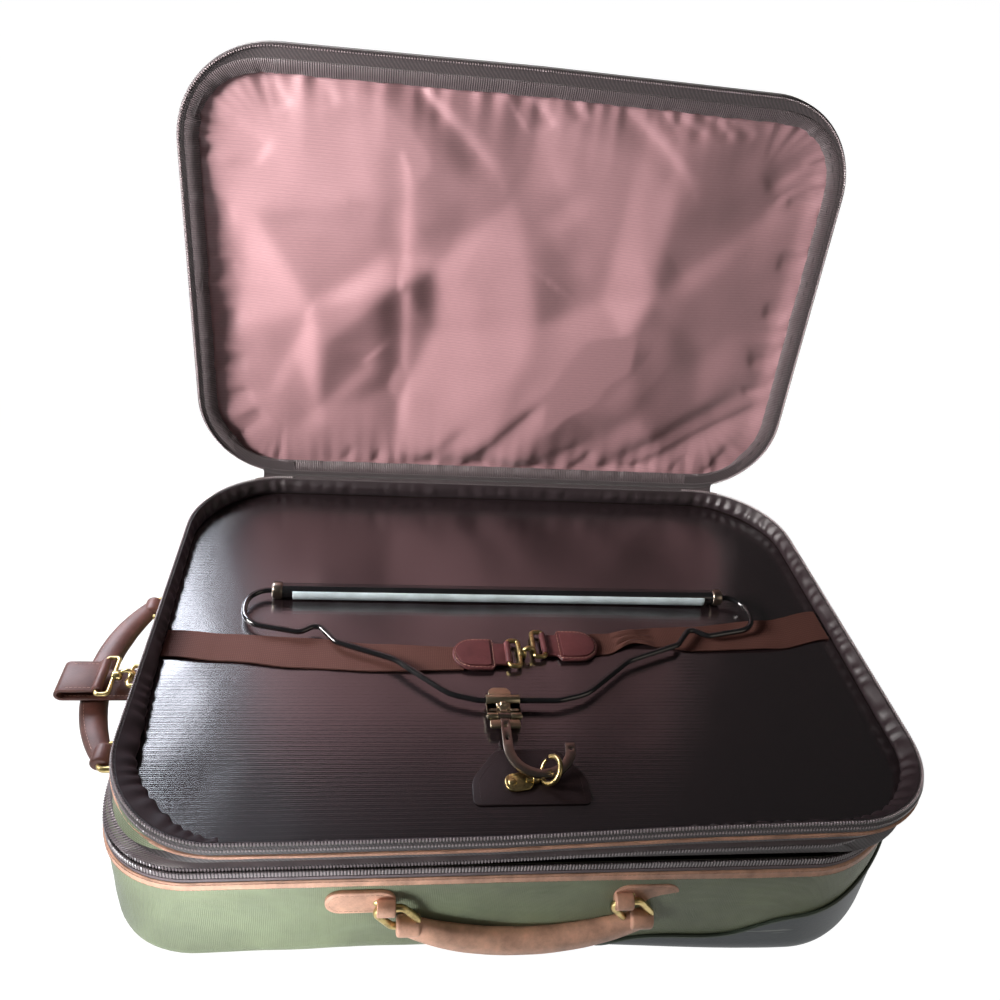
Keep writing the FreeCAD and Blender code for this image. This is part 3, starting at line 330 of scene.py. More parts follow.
def repaint(finish_name, *nodes):
    """Gives CAD nodes that keep their shape a better material."""
    for node in nodes:
        for place in frame["nodes"][node].material_slots:
            place.material = finish(finish_name)


# The outline of the bag


def core_and_out(point):
    """The nearest point of the outline's inner rectangle, and the way out from it."""
    x = min(max(point.x, -STRAIGHT_X), STRAIGHT_X)
    core = Vector((x, min(max(point.y, -STRAIGHT_Y), STRAIGHT_Y), point.z))
    return core, (point - core).normalized()


def at_inset(point, inset, z):
    core, out = core_and_out(point)
    place = core + out * (CORNER - inset)
    place.z = z
    return place


def round_the_bag(point):
    """Distance along the outline, anticlockwise from the middle of the front."""
    core, out = core_and_out(point)
    a, b = STRAIGHT_X, STRAIGHT_Y
    slack = 0.0001
    turn = (atan2(out.y, out.x) + pi / 2 + slack) % (2 * pi)
    if turn < 2 * slack:
        straight = core.x
    elif turn < pi / 2 + 2 * slack:
        straight = a + core.y + b
    elif turn < pi + 2 * slack:
        straight = 2 * a + 2 * b - core.x
    elif turn < 1.5 * pi + 2 * slack:
        straight = 3 * a + 3 * b - core.y
    else:
        straight = 3 * a + 4 * b
    return straight + CORNER * turn


def outline(name, inset, z, step=STEP):
    """The outline as one loop of edges, left in edit mode with all of it selected."""
    loop = begin(name, bpy.ops.mesh.primitive_plane_add, size=1, location=(0, 0, z))
    settle(loop, (2 * (HALF_LENGTH - inset), 2 * (HALF_WIDTH - inset), 1))
    edit(loop)
    corner_steps = round(CORNER_STEPS * STEP / step)
    bpy.ops.mesh.bevel(offset=CORNER - inset, segments=corner_steps, affect="VERTICES")
    bpy.ops.mesh.delete(type="ONLY_FACE")
    for axis, half in ((0, HALF_LENGTH), (1, HALF_WIDTH)):
        pick(loop, "EDGE", lambda e: abs((e.verts[0].co - e.verts[1].co)[axis]) > CORNER)
        bpy.ops.mesh.subdivide(number_cuts=int(2 * (half - CORNER) / step))
    bpy.ops.mesh.select_mode(type="VERT")
    bpy.ops.mesh.select_all(action="SELECT")
    return loop


def rings_at(level, *rings):
    """Rings of (inset, height) in mm from a level."""
    return [(inset * MM, level + height * MM) for inset, height in rings]


def band(name, rings, closed=True, gap=False, step=STEP):
    """A band round the bag through rings of (inset, height).

    Closed joins the last ring to the first, and gap leaves it open along the hinge.
    """
    piece = outline(name, *rings[0], step=step)
    for near, far in zip(rings, rings[1:]):
        extrude((0, 0, far[1] - near[1]))
        mesh = bmesh.from_edit_mesh(piece.data)
        for vertex in mesh.verts:
            if vertex.select:
                vertex.co = at_inset(vertex.co, *far)
        bmesh.update_edit_mesh(piece.data)
    if closed:
        pick(piece, "EDGE", lambda edge: edge.is_boundary)
        bpy.ops.mesh.bridge_edge_loops()
    if gap:
        pick(piece, "VERT", lambda vertex: abs(vertex.co.x) < HINGE_HALF and vertex.co.y > 0)
        bpy.ops.mesh.delete(type="VERT")
    if closed:
        close_up()
    else:
        face_out()
    return piece


def follow_band(piece):
    """A UV map in metres: along the outline, and across the band by height and inset."""
    mesh = piece.data
    layer = mesh.uv_layers.new(name="Band") if not mesh.uv_layers else mesh.uv_layers[0]
    whole = 4 * (HALF_LENGTH + HALF_WIDTH - 2 * CORNER) + 2 * pi * CORNER
    along = [round_the_bag(vertex.co) for vertex in mesh.vertices]
    for face in mesh.polygons:
        reach = [along[i] for i in face.vertices]
        top = max(reach)
        for loop_index, vertex_index in zip(face.loop_indices, face.vertices):
            u = along[vertex_index]
            if top - u > whole / 2:
                u += whole
            co = mesh.vertices[vertex_index].co
            core, _ = core_and_out(co)
            layer.data[loop_index].uv = (u, co.z + (co - core).length)


FRONT_FROM = -112 * MM       # the soft front moves from here forward
TRAY_LIFT = ((-280, -3), (-154, -3), (-32, -1.5), (97, 5), (200, 7.5))    # mm, along the front


def in_front(co):
    """How far a point is into the soft front, from 0 to 1."""
    return smooth((FRONT_FROM - co.y) / (HALF_WIDTH + FRONT_FROM))


def slump(co):
    """The soft front of the case leans to the handle end, sinks at its rim and kicks out at its foot."""
    sizes = bpy.context.scene.bag_sizes
    rise = min(co.z / CASE_RIM, 1)
    kick = sizes.kick * smooth(co.x / (200 * MM)) * (1 - rise)
    return co + Vector((-sizes.slump, -kick, -sizes.sag * rise * rise)) * in_front(co)


def sway(co):
    """The soft front of the tray: its foot leans with the case, and it rides up at the wheel end."""
    core, _ = core_and_out(co)
    lift = between(TRAY_LIFT, co.x / MM) * MM
    lean = bpy.context.scene.bag_sizes.slump
    if (co - core).length < CORNER - 2.5 * MM:
        lift *= smooth((co.z - DIVIDER_TOP) / (TRAY_RIM - DIVIDER_TOP))
        lean = 0
    low = 1 - smooth((co.z - MAIN_PARTING) / (TRAY_WELT_LOW - 3 * MM - MAIN_PARTING))
    return co + Vector((-lean * low, 0, lift)) * in_front(co)


def path(name, points, cyclic=False):
    """A helper curve of straight runs through points."""
    curve = bpy.data.curves.new(name, "CURVE")
    curve.dimensions = "3D"
    curve.twist_mode = "Z_UP"
    spline = curve.splines.new("POLY")
    spline.points.add(len(points) - 1)
    for spot, point in zip(spline.points, points):
        spot.co = (*point, 1)
    spline.use_cyclic_u = cyclic
    helper = bpy.data.objects.new(name, curve)
    bpy.context.collection.objects.link(helper)
    return helper


def outline_path(name, inset, z, gap=True):
    """The outline as a helper curve, from one end of the hinge to the other."""
    loop = outline(name, inset, z)
    if gap:
        pick(loop, "VERT", lambda vertex: abs(vertex.co.x) < HINGE_HALF and vertex.co.y > 0)
        bpy.ops.mesh.delete(type="VERT")
    leave()
    bpy.ops.object.convert(target="CURVE")
    loop.data.twist_mode = "Z_UP"
    return loop


def row(unit, helper, pitch):
    """Copies of a small piece along a helper curve, which is then removed."""
    modify(
        unit, "ARRAY", fit_type="FIT_CURVE", curve=helper, use_relative_offset=False,
        use_constant_offset=True, constant_offset_displace=(pitch, 0, 0),
    )
    modify(unit, "CURVE", object=helper, deform_axis="POS_X")
    bpy.data.objects.remove(helper)
    return unit


def tooth(name, wide, tall):
    """One turn of zip coil, standing up at the start of its row."""
    piece = rod(name, 6, wide / 2, tall, (wide, 0, 0))
    settle(piece)
    edit(piece)
    for side in (-1, 1):
        pick(piece, "FACE", lambda face: face.normal.z * side > 0.9)
        extrude((0, 0, side * wide / 4))
        bpy.ops.transform.resize(value=(0.5, 0.5, 1), center_override=(wide, 0, 0))
    leave()
    return piece


def stitch(name):
    """One stitch of thread, lying along X at the start of its row."""
    sizes = bpy.context.scene.bag_sizes
    half = sizes.stitch_long / 2
    piece = rod(name, 6, sizes.thread / 2, sizes.stitch_long, (half, 0, 0), (0, pi / 2, 0))
    settle(piece)
    edit(piece)
    pick(piece, "FACE", lambda face: abs(face.normal.x) > 0.9)
    bpy.ops.transform.resize(value=(1, 0.5, 0.5), center_override=(half, 0, 0))
    leave()
    return piece


def stitches(name, helper):
    """A row of stitches along a helper curve."""
    return row(stitch(name), helper, bpy.context.scene.bag_sizes.stitch_pitch)


def sewn(name, points, cyclic=False):
    """A row of stitches through points."""
    return stitches(name, path(name + "_path", points, cyclic))


def drawn(name, points, bends, wide, thick=None, normal=(0, 0, 1), closed=False, sides=12):
    """A bar or wire drawn through points: extruded along its runs and spun round its bends."""
    spots = [Vector(point) for point in points]
    turns = list(bends)
    if closed:
        middle = (spots[0] + spots[1]) / 2
        spots = [middle] + spots[1:] + [spots[0], middle]
        turns = [0] + turns[1:] + [turns[0], 0]
    heading = (spots[1] - spots[0]).normalized()
    up = Vector(normal)
    place = Matrix((up.cross(heading), up, heading)).transposed().to_euler()
    if thick is None:
        bar = begin(
            name, bpy.ops.mesh.primitive_circle_add, vertices=sides, radius=wide / 2, fill_type="NGON",
            location=spots[0], rotation=place,
        )
        settle(bar)
    else:
        bar = begin(name, bpy.ops.mesh.primitive_plane_add, size=1, location=spots[0], rotation=place)
        settle(bar, (wide, thick, 1))
    edit(bar)
    here = spots[0]
    for i in range(1, len(spots)):
        along = (spots[i] - spots[i - 1]).normalized()
        end = spots[i]
        turn = 0
        if i < len(spots) - 1:
            after = (spots[i + 1] - spots[i]).normalized()
            turn = along.angle(after)
            end = spots[i] - along * (turns[i] * tan(turn / 2))
        if (end - here).length > WELD:
            extrude(end - here)
        here = end
        if turn > 0.001:
            axis = along.cross(after).normalized()
            centre = here + axis.cross(along) * turns[i]
            steps = max(2, ceil(degrees(turn) / 15))
            bpy.ops.mesh.spin(steps=steps, angle=-turn, center=centre, axis=axis)
            here = spots[i] + after * (turns[i] * tan(turn / 2))
    if closed:
        bpy.ops.mesh.select_all(action="SELECT")
        bpy.ops.mesh.remove_doubles(threshold=WELD)

        def inner_wall(face):
            at_start = (face.calc_center_median() - spots[0]).length < 0.0001
            return at_start and abs(face.normal.dot(heading)) > 0.9

        pick(bar, "FACE", inner_wall)
        bpy.ops.mesh.delete(type="ONLY_FACE")
    close_up()
    return bar


def pin(name, middle, half, wide, sides=12):
    """A round bar along X, with half of it to each side of its middle."""
    x, y, z = middle
    return drawn(name, [(x - half, y, z), (x + half, y, z)], [0, 0], wide, sides=sides)


def plate(name, corners, rounding, low, thick, edge, steps=6):
    """A flat plate with rounded corners, its underside at low and its edges eased."""
    piece = begin(
        name, bpy.ops.mesh.primitive_circle_add, vertices=len(corners), radius=1, fill_type="NGON",
        location=(0, 0, 0),
    )
    for vertex, corner in zip(piece.data.vertices, corners):
        vertex.co = (corner[0], corner[1], low)
    edit(piece)
    bpy.ops.mesh.bevel(offset=rounding, segments=steps, affect="VERTICES")
    extrude((0, 0, thick))
    close_up()
    ease(piece, edge, 3, 60)
    return piece


def rivet(name, radius, height):
    """A domed rivet head on the XY plane, looking up +Z."""
    head = begin(name, bpy.ops.mesh.primitive_uv_sphere_add, segments=20, ring_count=12, radius=radius)
    edit(head)
    bpy.ops.mesh.bisect(plane_co=(0, 0, 0), plane_no=(0, 0, 1), clear_inner=True, use_fill=True)
    close_up()
    shape(head, lambda co: Vector((co.x, co.y, co.z * height / radius)))
    return head


def fold_depth(x, y, folds):
    """Depth of the creases at a point of a cloth, each steep on one side and easy on the other.

    A crease has two ends, a width and a depth in mm.
    """
    depth = 0
    spot = Vector((x, y))
    for ax, ay, bx, by, wide, deep in folds:
        start = Vector((ax, ay))
        run = Vector((bx, by)) - start
        away = spot - start
        part = min(max(away.dot(run) / run.length_squared, 0), 1)
        off = (away - run * part).length / wide
        if run.x * away.y < run.y * away.x:
            off /= 2.2
        if off < 3:
            fade = min(1, 4 * (1 - part) + 0.15)
            depth += deep * exp(-off * off) * fade
    return depth


def rounded_grid(name, inset, step, corner=CORNER):
    """A grid of cloth with the bag's outline, drawn in at its corners."""
    x = HALF_LENGTH - inset
    y = HALF_WIDTH - inset
    radius = corner - inset
    cloth = begin(
        name, bpy.ops.mesh.primitive_grid_add, x_subdivisions=round(2 * x / step),
        y_subdivisions=round(2 * y / step), size=2,
    )
    settle(cloth, (x, y, 1))

    def draw_in(co):
        u = max(abs(co.x) - (x - radius), 0) / radius
        v = max(abs(co.y) - (y - radius), 0) / radius
        if u > 0 and v > 0:
            across = copysign(x - radius + radius * u * sqrt(1 - v * v / 2), co.x)
            back = copysign(y - radius + radius * v * sqrt(1 - u * u / 2), co.y)
            return Vector((across, back, co.z))
        return co

    shape(cloth, draw_in)
    layer = cloth.data.uv_layers[0]
    for loop in cloth.data.loops:
        layer.data[loop.index].uv = cloth.data.vertices[loop.vertex_index].co.xy
    return cloth


# Materials


def add(tree, kind, links=None, stops=(), **settings):
    """Adds a node with its settings, links or sets its inputs, and gives a ramp its stops."""
    made = tree.nodes.new("ShaderNode" + kind)
    for key, value in settings.items():
        setattr(made, key, value)
    for socket, value in (links or {}).items():
        target = made.inputs[socket]
        if isinstance(value, bpy.types.NodeSocket):
            tree.links.new(value, target)
        else:
            target.default_value = value
    for i, (place, stop_colour) in enumerate(stops):
        made.color_ramp.elements[i].position = place
        made.color_ramp.elements[i].color = stop_colour
    return made


def surface(name, **sockets):
    """A new material with its Principled shader set."""
    made = bpy.data.materials.new(name)
    made.use_nodes = True
    shader = made.node_tree.nodes["Principled BSDF"]
    for socket, value in sockets.items():
        shader.inputs[socket.replace("_", " ")].default_value = value
    return made, made.node_tree, shader


def lay(tree, shader, tone, height, strength, distance):
    """Gives a finish its colour and its relief."""
    bump = add(tree, "Bump", {"Height": height, "Strength": strength, "Distance": distance})
    tree.links.new(tone, shader.inputs["Base Color"])
    tree.links.new(bump.outputs[0], shader.inputs["Normal"])


def shade(base, factor):
    """A linear colour made lighter or darker, opaque."""
    return (*[min(1, part * factor) for part in base], 1)


def bands(pitch):
    """The wave texture's scale for bands at a pitch in metres."""
    return pi / 10 / pitch


def nylon_canvas(name):
    # Olive nylon canvas, a plain weave with a coated face: dull, mottled, with rubbed pale streaks.
    base = bpy.context.scene.bag_colours.canvas
    made, tree, shader = surface(name, Roughness=0.5, Sheen_Weight=0.2, Sheen_Roughness=0.5)
    here = add(tree, "TexCoord").outputs["Object"]
    threads = []
    for axis in "XYZ":
        # The weave is 0.6 mm, drawn at twice that so that it shows.
        threads.append(add(
            tree, "TexWave", {"Vector": here, "Scale": bands(1.2 * MM), "Distortion": 0.6, "Detail": 1.0},
            bands_direction=axis,
        ).outputs["Fac"])
    weave = add(tree, "Math", {0: threads[0], 1: threads[1]}, operation="ADD").outputs[0]
    weave = add(tree, "Math", {0: weave, 1: threads[2]}, operation="ADD").outputs[0]
    mottle = add(tree, "TexNoise", {"Vector": here, "Scale": 1 / 0.06, "Detail": 5.0, "Roughness": 0.6})
    stops = ((0.3, shade(base, 0.62)), (0.72, shade(base, 1.2)))
    tone = add(tree, "ValToRGB", {"Fac": mottle.outputs["Fac"]}, stops)
    streak_place = add(
        tree, "Mapping", {"Vector": here, "Rotation": (0.3, 0.85, 0.2), "Scale": (6, 90, 110)},
    )
    streaks = add(tree, "TexNoise", {"Vector": streak_place.outputs[0], "Scale": 1.0, "Detail": 3.0})
    stops = ((0.66, (0, 0, 0, 1)), (0.78, (0.5, 0.5, 0.5, 1)))
    rubbed = add(tree, "ValToRGB", {"Fac": streaks.outputs["Fac"]}, stops)
    worn = add(
        tree, "MixRGB", {"Fac": rubbed.outputs[0], "Color1": tone.outputs[0], "Color2": shade(base, 1.9)},
    )
    lay(tree, shader, worn.outputs[0], weave, 0.4, 0.0005)
    return made


def grained_leather(name, base, roughness, dark, light):
    """Full-grain leather: fine pebbled cells, tone that drifts, and rubbed paler patches."""
    made, tree, shader = surface(name, Roughness=roughness, Specular_IOR_Level=0.4)
    here = add(tree, "TexCoord").outputs["Object"]
    cells = add(tree, "TexVoronoi", {"Vector": here, "Scale": 1 / 0.0013}, feature="F1")
    drift = add(tree, "TexNoise", {"Vector": here, "Scale": 1 / 0.018, "Detail": 6.0, "Roughness": 0.65})
    stops = ((0.3, shade(base, dark)), (0.7, shade(base, light)))
    tone = add(tree, "ValToRGB", {"Fac": drift.outputs["Fac"]}, stops)
    lay(tree, shader, tone.outputs[0], cells.outputs["Distance"], 0.25, 0.0003)
    return made


def tan_leather(name):
    # Vegetable-tanned leather, waxed and handled: warm tan, its tone drifting paler and darker in patches.
    return grained_leather(name, bpy.context.scene.bag_colours.leather, 0.48, 0.6, 1.3)


def shaded_tan_leather(name):
    # Painted shade: the tan leather darkened for the end handle, the luggage strap and its chape, standing
    # for the shade at the end of the case.
    return grained_leather(name, linear("#5B372F"), 0.5, 0.6, 1.3)


def oxblood_leather(name):
    # Smooth dyed leather of the strap tabs, semi-gloss.
    return grained_leather(name, bpy.context.scene.bag_colours.oxblood, 0.4, 0.7, 1.25)


def patch_leather(name):
    # Dark brown leather of the patch, nearly matt.
    return grained_leather(name, linear("#1E1213"), 0.5, 0.7, 1.3)


def ribbed(name, base, pitch, roughness, sheen, depth, spread, ior):
    """A ribbed cloth on its own UV map: broad ribs along the first axis over a fine rib."""
    made, tree, shader = surface(
        name, Roughness=roughness, Sheen_Weight=sheen, Sheen_Roughness=0.35, IOR=ior,
    )
    cloth = add(tree, "TexCoord").outputs["UV"]
    ribs = add(
        tree, "TexWave", {"Vector": cloth, "Scale": bands(pitch), "Distortion": 0.9, "Detail": 2.0,
                          "Detail Scale": 0.4},
        bands_direction="Y",
    )
    # The fine rib is about 1 mm, drawn a little coarser so that it shows.
    fine = add(
        tree, "TexWave", {"Vector": cloth, "Scale": bands(1.5 * MM), "Distortion": 0.7, "Detail": 1.0},
        bands_direction="Y",
    )
    slub_place = add(tree, "Mapping", {"Vector": cloth, "Scale": (1 / 0.005, 1 / 0.0016, 1)})
    slub = add(tree, "TexNoise", {"Vector": slub_place.outputs[0], "Scale": 1.0, "Detail": 3.0})
    mixed = add(tree, "Math", {0: ribs.outputs["Fac"], 1: fine.outputs["Fac"]}, operation="ADD")
    mixed = add(tree, "Math", {0: mixed.outputs[0], 1: slub.outputs["Fac"]}, operation="MULTIPLY")
    stops = ((0.05, shade(base, 1 - spread)), (0.9, shade(base, 1 + spread)))
    tone = add(tree, "ValToRGB", {"Fac": mixed.outputs[0]}, stops)
    lay(tree, shader, tone.outputs[0], mixed.outputs[0], depth, 0.0005)
    return made


def mauve_satin(name):
    # Acetate lining with a fine cross rib: silky, with soft broad highlights over its billows.
    return ribbed(name, bpy.context.scene.bag_colours.satin, 2.6 * MM, 0.52, 0.25, 0.12, 0.12, 1.5)


def brown_nylon(name):
    # Ribbed nylon over the divider board: dark, with a broad rib and a hard glossy face.
    return ribbed(name, bpy.context.scene.bag_colours.nylon, 3.6 * MM, 0.22, 0.0, 0.08, 0.35, 2.4)


def brown_satin(name):
    # Plain acetate satin, gathered: glossy folds.
    base = bpy.context.scene.bag_colours.brown
    made, tree, shader = surface(name, Roughness=0.5)
    here = add(tree, "TexCoord").outputs["Object"]
    drift = add(tree, "TexNoise", {"Vector": here, "Scale": 1 / 0.03, "Detail": 4.0})
    stops = ((0, shade(base, 0.7)), (1, shade(base, 1.2)))
    tone = add(tree, "ValToRGB", {"Fac": drift.outputs["Fac"]}, stops)
    fine = add(tree, "TexNoise", {"Vector": here, "Scale": 1 / 0.0012, "Detail": 2.0})
    lay(tree, shader, tone.outputs[0], fine.outputs["Fac"], 0.15, 0.0003)
    return made


def grosgrain(name):
    # Ribbed ribbon with its ribs across the band, folded over the raw edge of the lining.
    made, tree, shader = surface(name, Roughness=0.6, Sheen_Weight=0.3)
    cloth = add(tree, "TexCoord").outputs["UV"]
    ribs = add(
        tree, "TexWave", {"Vector": cloth, "Scale": bands(1.8 * MM), "Distortion": 0.5, "Detail": 1.0},
        bands_direction="X",
    )
    base = bpy.context.scene.bag_colours.tape
    stops = ((0, shade(base, 1.0)), (1, shade(base, 2.8)))
    tone = add(tree, "ValToRGB", {"Fac": ribs.outputs["Fac"]}, stops)
    lay(tree, shader, tone.outputs[0], ribs.outputs["Fac"], 0.6, 0.0006)
    return made


def twill_tape(name):
    # Polyester zip tape in a fine twill, speckled where the light catches its floats.
    base = bpy.context.scene.bag_colours.tape
    made, tree, shader = surface(name, Roughness=0.65, Sheen_Weight=0.25)
    here = add(tree, "TexCoord").outputs["Object"]
    twill = add(
        tree, "TexWave", {"Vector": here, "Scale": bands(1.6 * MM), "Distortion": 1.5, "Detail": 2.0},
        bands_direction="DIAGONAL",
    )
    speckle = add(tree, "TexNoise", {"Vector": here, "Scale": 1 / 0.0012, "Detail": 2.0})
    mixed = add(tree, "Math", {0: twill.outputs["Fac"], 1: speckle.outputs["Fac"]}, operation="MULTIPLY")
    stops = ((0, shade(base, 0.5)), (0.6, shade(base, 1.8)))
    tone = add(tree, "ValToRGB", {"Fac": mixed.outputs[0]}, stops)
    lay(tree, shader, tone.outputs[0], mixed.outputs[0], 0.4, 0.0004)
    return made


def plain(name, hex_colour, roughness, spread, grain, depth, sockets=None):
    """A moulded, coated or drawn surface: one colour that drifts a little over a fine grain."""
    made, tree, shader = surface(name, Roughness=roughness, **(sockets or {}))
    base = linear(hex_colour)
    here = add(tree, "TexCoord").outputs["Object"]
    drift = add(tree, "TexNoise", {"Vector": here, "Scale": 1 / 0.02, "Detail": 5.0})
    stops = ((0.3, shade(base, 1 - spread)), (0.7, shade(base, 1 + spread)))
    tone = add(tree, "ValToRGB", {"Fac": drift.outputs["Fac"]}, stops)
    fine = add(tree, "TexNoise", {"Vector": here, "Scale": 1 / grain, "Detail": 2.0})
    lay(tree, shader, tone.outputs[0], fine.outputs["Fac"], depth, grain / 3)
    return made


def antique_brass(name):
    # Cast zinc plated in antique brass: warm metal, darkened in patches of tarnish and dull with handling.
    made, tree, shader = surface(name, Metallic=1.0, Roughness=0.3)
    base = bpy.context.scene.bag_colours.brass
    here = add(tree, "TexCoord").outputs["Object"]
    tarnish = add(tree, "TexNoise", {"Vector": here, "Scale": 1 / 0.005, "Detail": 6.0, "Roughness": 0.65})
    stops = ((0.3, shade(base, 0.5)), (0.55, shade(base, 1.15)))
    tone = add(tree, "ValToRGB", {"Fac": tarnish.outputs["Fac"]}, stops)
    gloss = add(tree, "MapRange", {"Value": tarnish.outputs["Fac"], "To Min": 0.42, "To Max": 0.2})
    tree.links.new(gloss.outputs[0], shader.inputs["Roughness"])
    lay(tree, shader, tone.outputs[0], tarnish.outputs["Fac"], 0.08, 0.0003)
    return made


def slate_vinyl(name):
    # Heavy moulded vinyl with a fine leather grain, scuffed white where the corner has been dragged.
    base = bpy.context.scene.bag_colours.guard
    made, tree, shader = surface(name, Roughness=0.5)
    here = add(tree, "TexCoord").outputs["Object"]
    drift = add(tree, "TexNoise", {"Vector": here, "Scale": 1 / 0.03, "Detail": 5.0})
    stops = ((0.3, shade(base, 0.75)), (0.7, shade(base, 1.2)))
    tone = add(tree, "ValToRGB", {"Fac": drift.outputs["Fac"]}, stops)
    scratch_place = add(
        tree, "Mapping", {"Vector": here, "Rotation": (0, 0.9, 0.4), "Scale": (14, 260, 320)},
    )
    scratches = add(tree, "TexNoise", {"Vector": scratch_place.outputs[0], "Scale": 1.0, "Detail": 2.0})
    stops = ((0.7, (0, 0, 0, 1)), (0.76, (0.7, 0.7, 0.7, 1)))
    scraped = add(tree, "ValToRGB", {"Fac": scratches.outputs["Fac"]}, stops)
    worn = add(tree, "MixRGB", {
        "Fac": scraped.outputs[0], "Color1": tone.outputs[0], "Color2": (*linear("#C9CFCB"), 1),
    })
    cells = add(tree, "TexVoronoi", {"Vector": here, "Scale": 1 / 0.0016}, feature="F1")
    lay(tree, shader, worn.outputs[0], cells.outputs["Distance"], 0.3, 0.0004)
    return made


def elastic_webbing(name):
    # Woven elastic: cords along its length between two firm edges, which catch the light.
    made, tree, shader = surface(name, Roughness=0.8, Specular_IOR_Level=0.2)
    cloth = add(tree, "TexCoord").outputs["UV"]
    cords = add(
        tree, "TexWave", {"Vector": cloth, "Scale": bands(1.7 * MM), "Distortion": 0.3}, bands_direction="Y",
    )
    picks = add(
        tree, "TexWave", {"Vector": cloth, "Scale": bands(1.5 * MM), "Distortion": 0.6}, bands_direction="X",
    )
    weave = add(tree, "Math", {0: cords.outputs["Fac"], 1: picks.outputs["Fac"]}, operation="MULTIPLY")
    base = linear("#55362F")
    stops = ((0, shade(base, 0.75)), (1, shade(base, 1.3)))
    tone = add(tree, "ValToRGB", {"Fac": weave.outputs[0]}, stops)
    lay(tree, shader, tone.outputs[0], weave.outputs[0], 0.5, 0.0005)
    return made


# By name: colour, roughness, drift of the colour, size and depth of the grain, other sockets
PLAIN_FINISHES = {
    # Moulded nylon coil, glossy, with pale glints on its turns.
    "Nylon zip coil": ("#857A7C", 0.24, 0.15, 0.4 * MM, 0.05, {"Specular_IOR_Level": 0.8}),
    # Waxed polyester thread, a little paler than the leather.
    "Waxed thread": ("#B8917E", 0.6, 0.2, 0.3 * MM, 0.3),
    # Stamped steel, nickel plated and dulled to a warm grey.
    "Nickel plate": ("#8A7F73", 0.3, 0.25, 0.8 * MM, 0.06, {"Metallic": 1.0}),
    # Moulded ABS with a fine spark-eroded grain.
    "Moulded black ABS": ("#1E1E1F", 0.45, 0.15, 0.9 * MM, 0.12),
    # Cast polyurethane, matt and dusty.
    "Polyurethane tyre": ("#2B2B2A", 0.7, 0.25, 0.7 * MM, 0.25),
    # Moulded glass-filled nylon of the wheel hubs.
    "Moulded grey nylon": ("#77797A", 0.5, 0.12, 0.8 * MM, 0.12),
    # Zinc-plated steel pins and rods.
    "Zinc-plated steel": ("#A9AAA8", 0.3, 0.12, 0.6 * MM, 0.05, {"Metallic": 1.0}),
    # Drawn aluminium tube, anodised a dull silver.
    "Anodised aluminium": ("#8E9091", 0.32, 0.08, 0.5 * MM, 0.04, {"Metallic": 1.0}),
    # Steel wire and tube dipped in vinyl: black, with a wet gloss.
    "Black vinyl coat": ("#141415", 0.16, 0.2, 1.2 * MM, 0.03, {"Coat_Weight": 0.6, "Coat_Roughness": 0.08}),
    # Closed-cell foam strip, pale blue grey, with small pores.
    "Foam strip": ("#BCCBD0", 0.85, 0.2, 0.9 * MM, 0.6),
    # Vinyl piping round a cord, dark green.
    "Green vinyl piping": ("#3F4A3E", 0.45, 0.2, 0.8 * MM, 0.15),
    # Painted light: a paler copy of the zip tape, laid along the welt where the tape catches the light.
    "Zip tape edge": ("#5F5255", 0.7, 0.25, 0.8 * MM, 0.4),
    # Stamped steel of the clamp, its brass plating worn pale.
    "Brassed steel": ("#B4A78A", 0.28, 0.25, 0.8 * MM, 0.08, {"Metallic": 1.0}),
    # Dark brown polyester thread of the patch.
    "Dark thread": ("#332322", 0.6, 0.2, 0.3 * MM, 0.3),
}
FINISHES = {
    "Olive nylon canvas": nylon_canvas, "Tan leather": tan_leather, "Oxblood leather": oxblood_leather,
    "Brown patch leather": patch_leather, "Mauve ribbed satin": mauve_satin, "Brown satin": brown_satin,
    "Brown ribbed nylon": brown_nylon, "Grosgrain ribbon": grosgrain, "Twill zip tape": twill_tape,
    "Antique brass": antique_brass, "Slate vinyl": slate_vinyl, "Elastic webbing": elastic_webbing,
    "Dark brown leather": shaded_tan_leather,
}


def finish(name):
    """A material by its name, made when it is first used."""
    made = bpy.data.materials.get(name)
    if made is None and name in PLAIN_FINISHES:
        made = plain(name, *PLAIN_FINISHES[name])
    return made or FINISHES[name](name)


# Case

HOUSING_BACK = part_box("wheel_housings")[0].x
HOUSING_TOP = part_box("wheel_housings")[1].z
WHEEL_Y = joint_at["wheel_rear_spin"].y
HOUSING_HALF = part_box("wheel_housings")[1].y - WHEEL_Y
BEZEL_LOW, BEZEL_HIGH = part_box("trolley_bezel")
FIT = 0.3 * MM               # canvas stands off a moulded piece let into it
PAST = 10 * MM               # cutters run on past the piece
GUARD_OUT = 1.8 * MM
PIPING = 1.5 * MM            # radius of the guard's piping
CASE_FOLDS = (
    (-62, 91, -30, 74, 5, 1.6), (-48, 91, -8, 80, 4, 1.2), (30, 90, -6, 76, 5, 1.2),
    (-70, 74, 40, 66, 8, 1.2), (-224, 69, -161, 13, 3, 0.7), (-200, 86, -150, 70, 6, 1.0),
    (-110, 30, 20, 22, 10, 1.4),
)                            # on the front, mm: x, z, x, z, width, depth


def edge_inset(z):
    """How far the rounded bottom edge is drawn in at a height."""
    if z >= EDGE:
        return 0
    return EDGE - sqrt(EDGE ** 2 - (EDGE - z) ** 2)


def edge_rings(out, top, rise=8 * MM):
    rings = []
    for i in range(7):
        z = EDGE * (1 - cos(pi / 2 * i / 6))
        rings.append((edge_inset(z) - out, z))
    steps = max(1, round((top - EDGE) / rise))
    for i in range(1, steps + 1):
        rings.append((-out, EDGE + (top - EDGE) * i / steps))
    return rings


def housing_cutters():
    cutters = []
    for side in (-1, 1):
        y = side * WHEEL_Y
        reach = HOUSING_HALF + FIT
        low = (HOUSING_BACK - FIT, y - reach, -PAST)
        cutters.append(block("housing_cutter", low, (HALF_LENGTH + PAST, y + reach, HOUSING_TOP + FIT)))
    return cutters


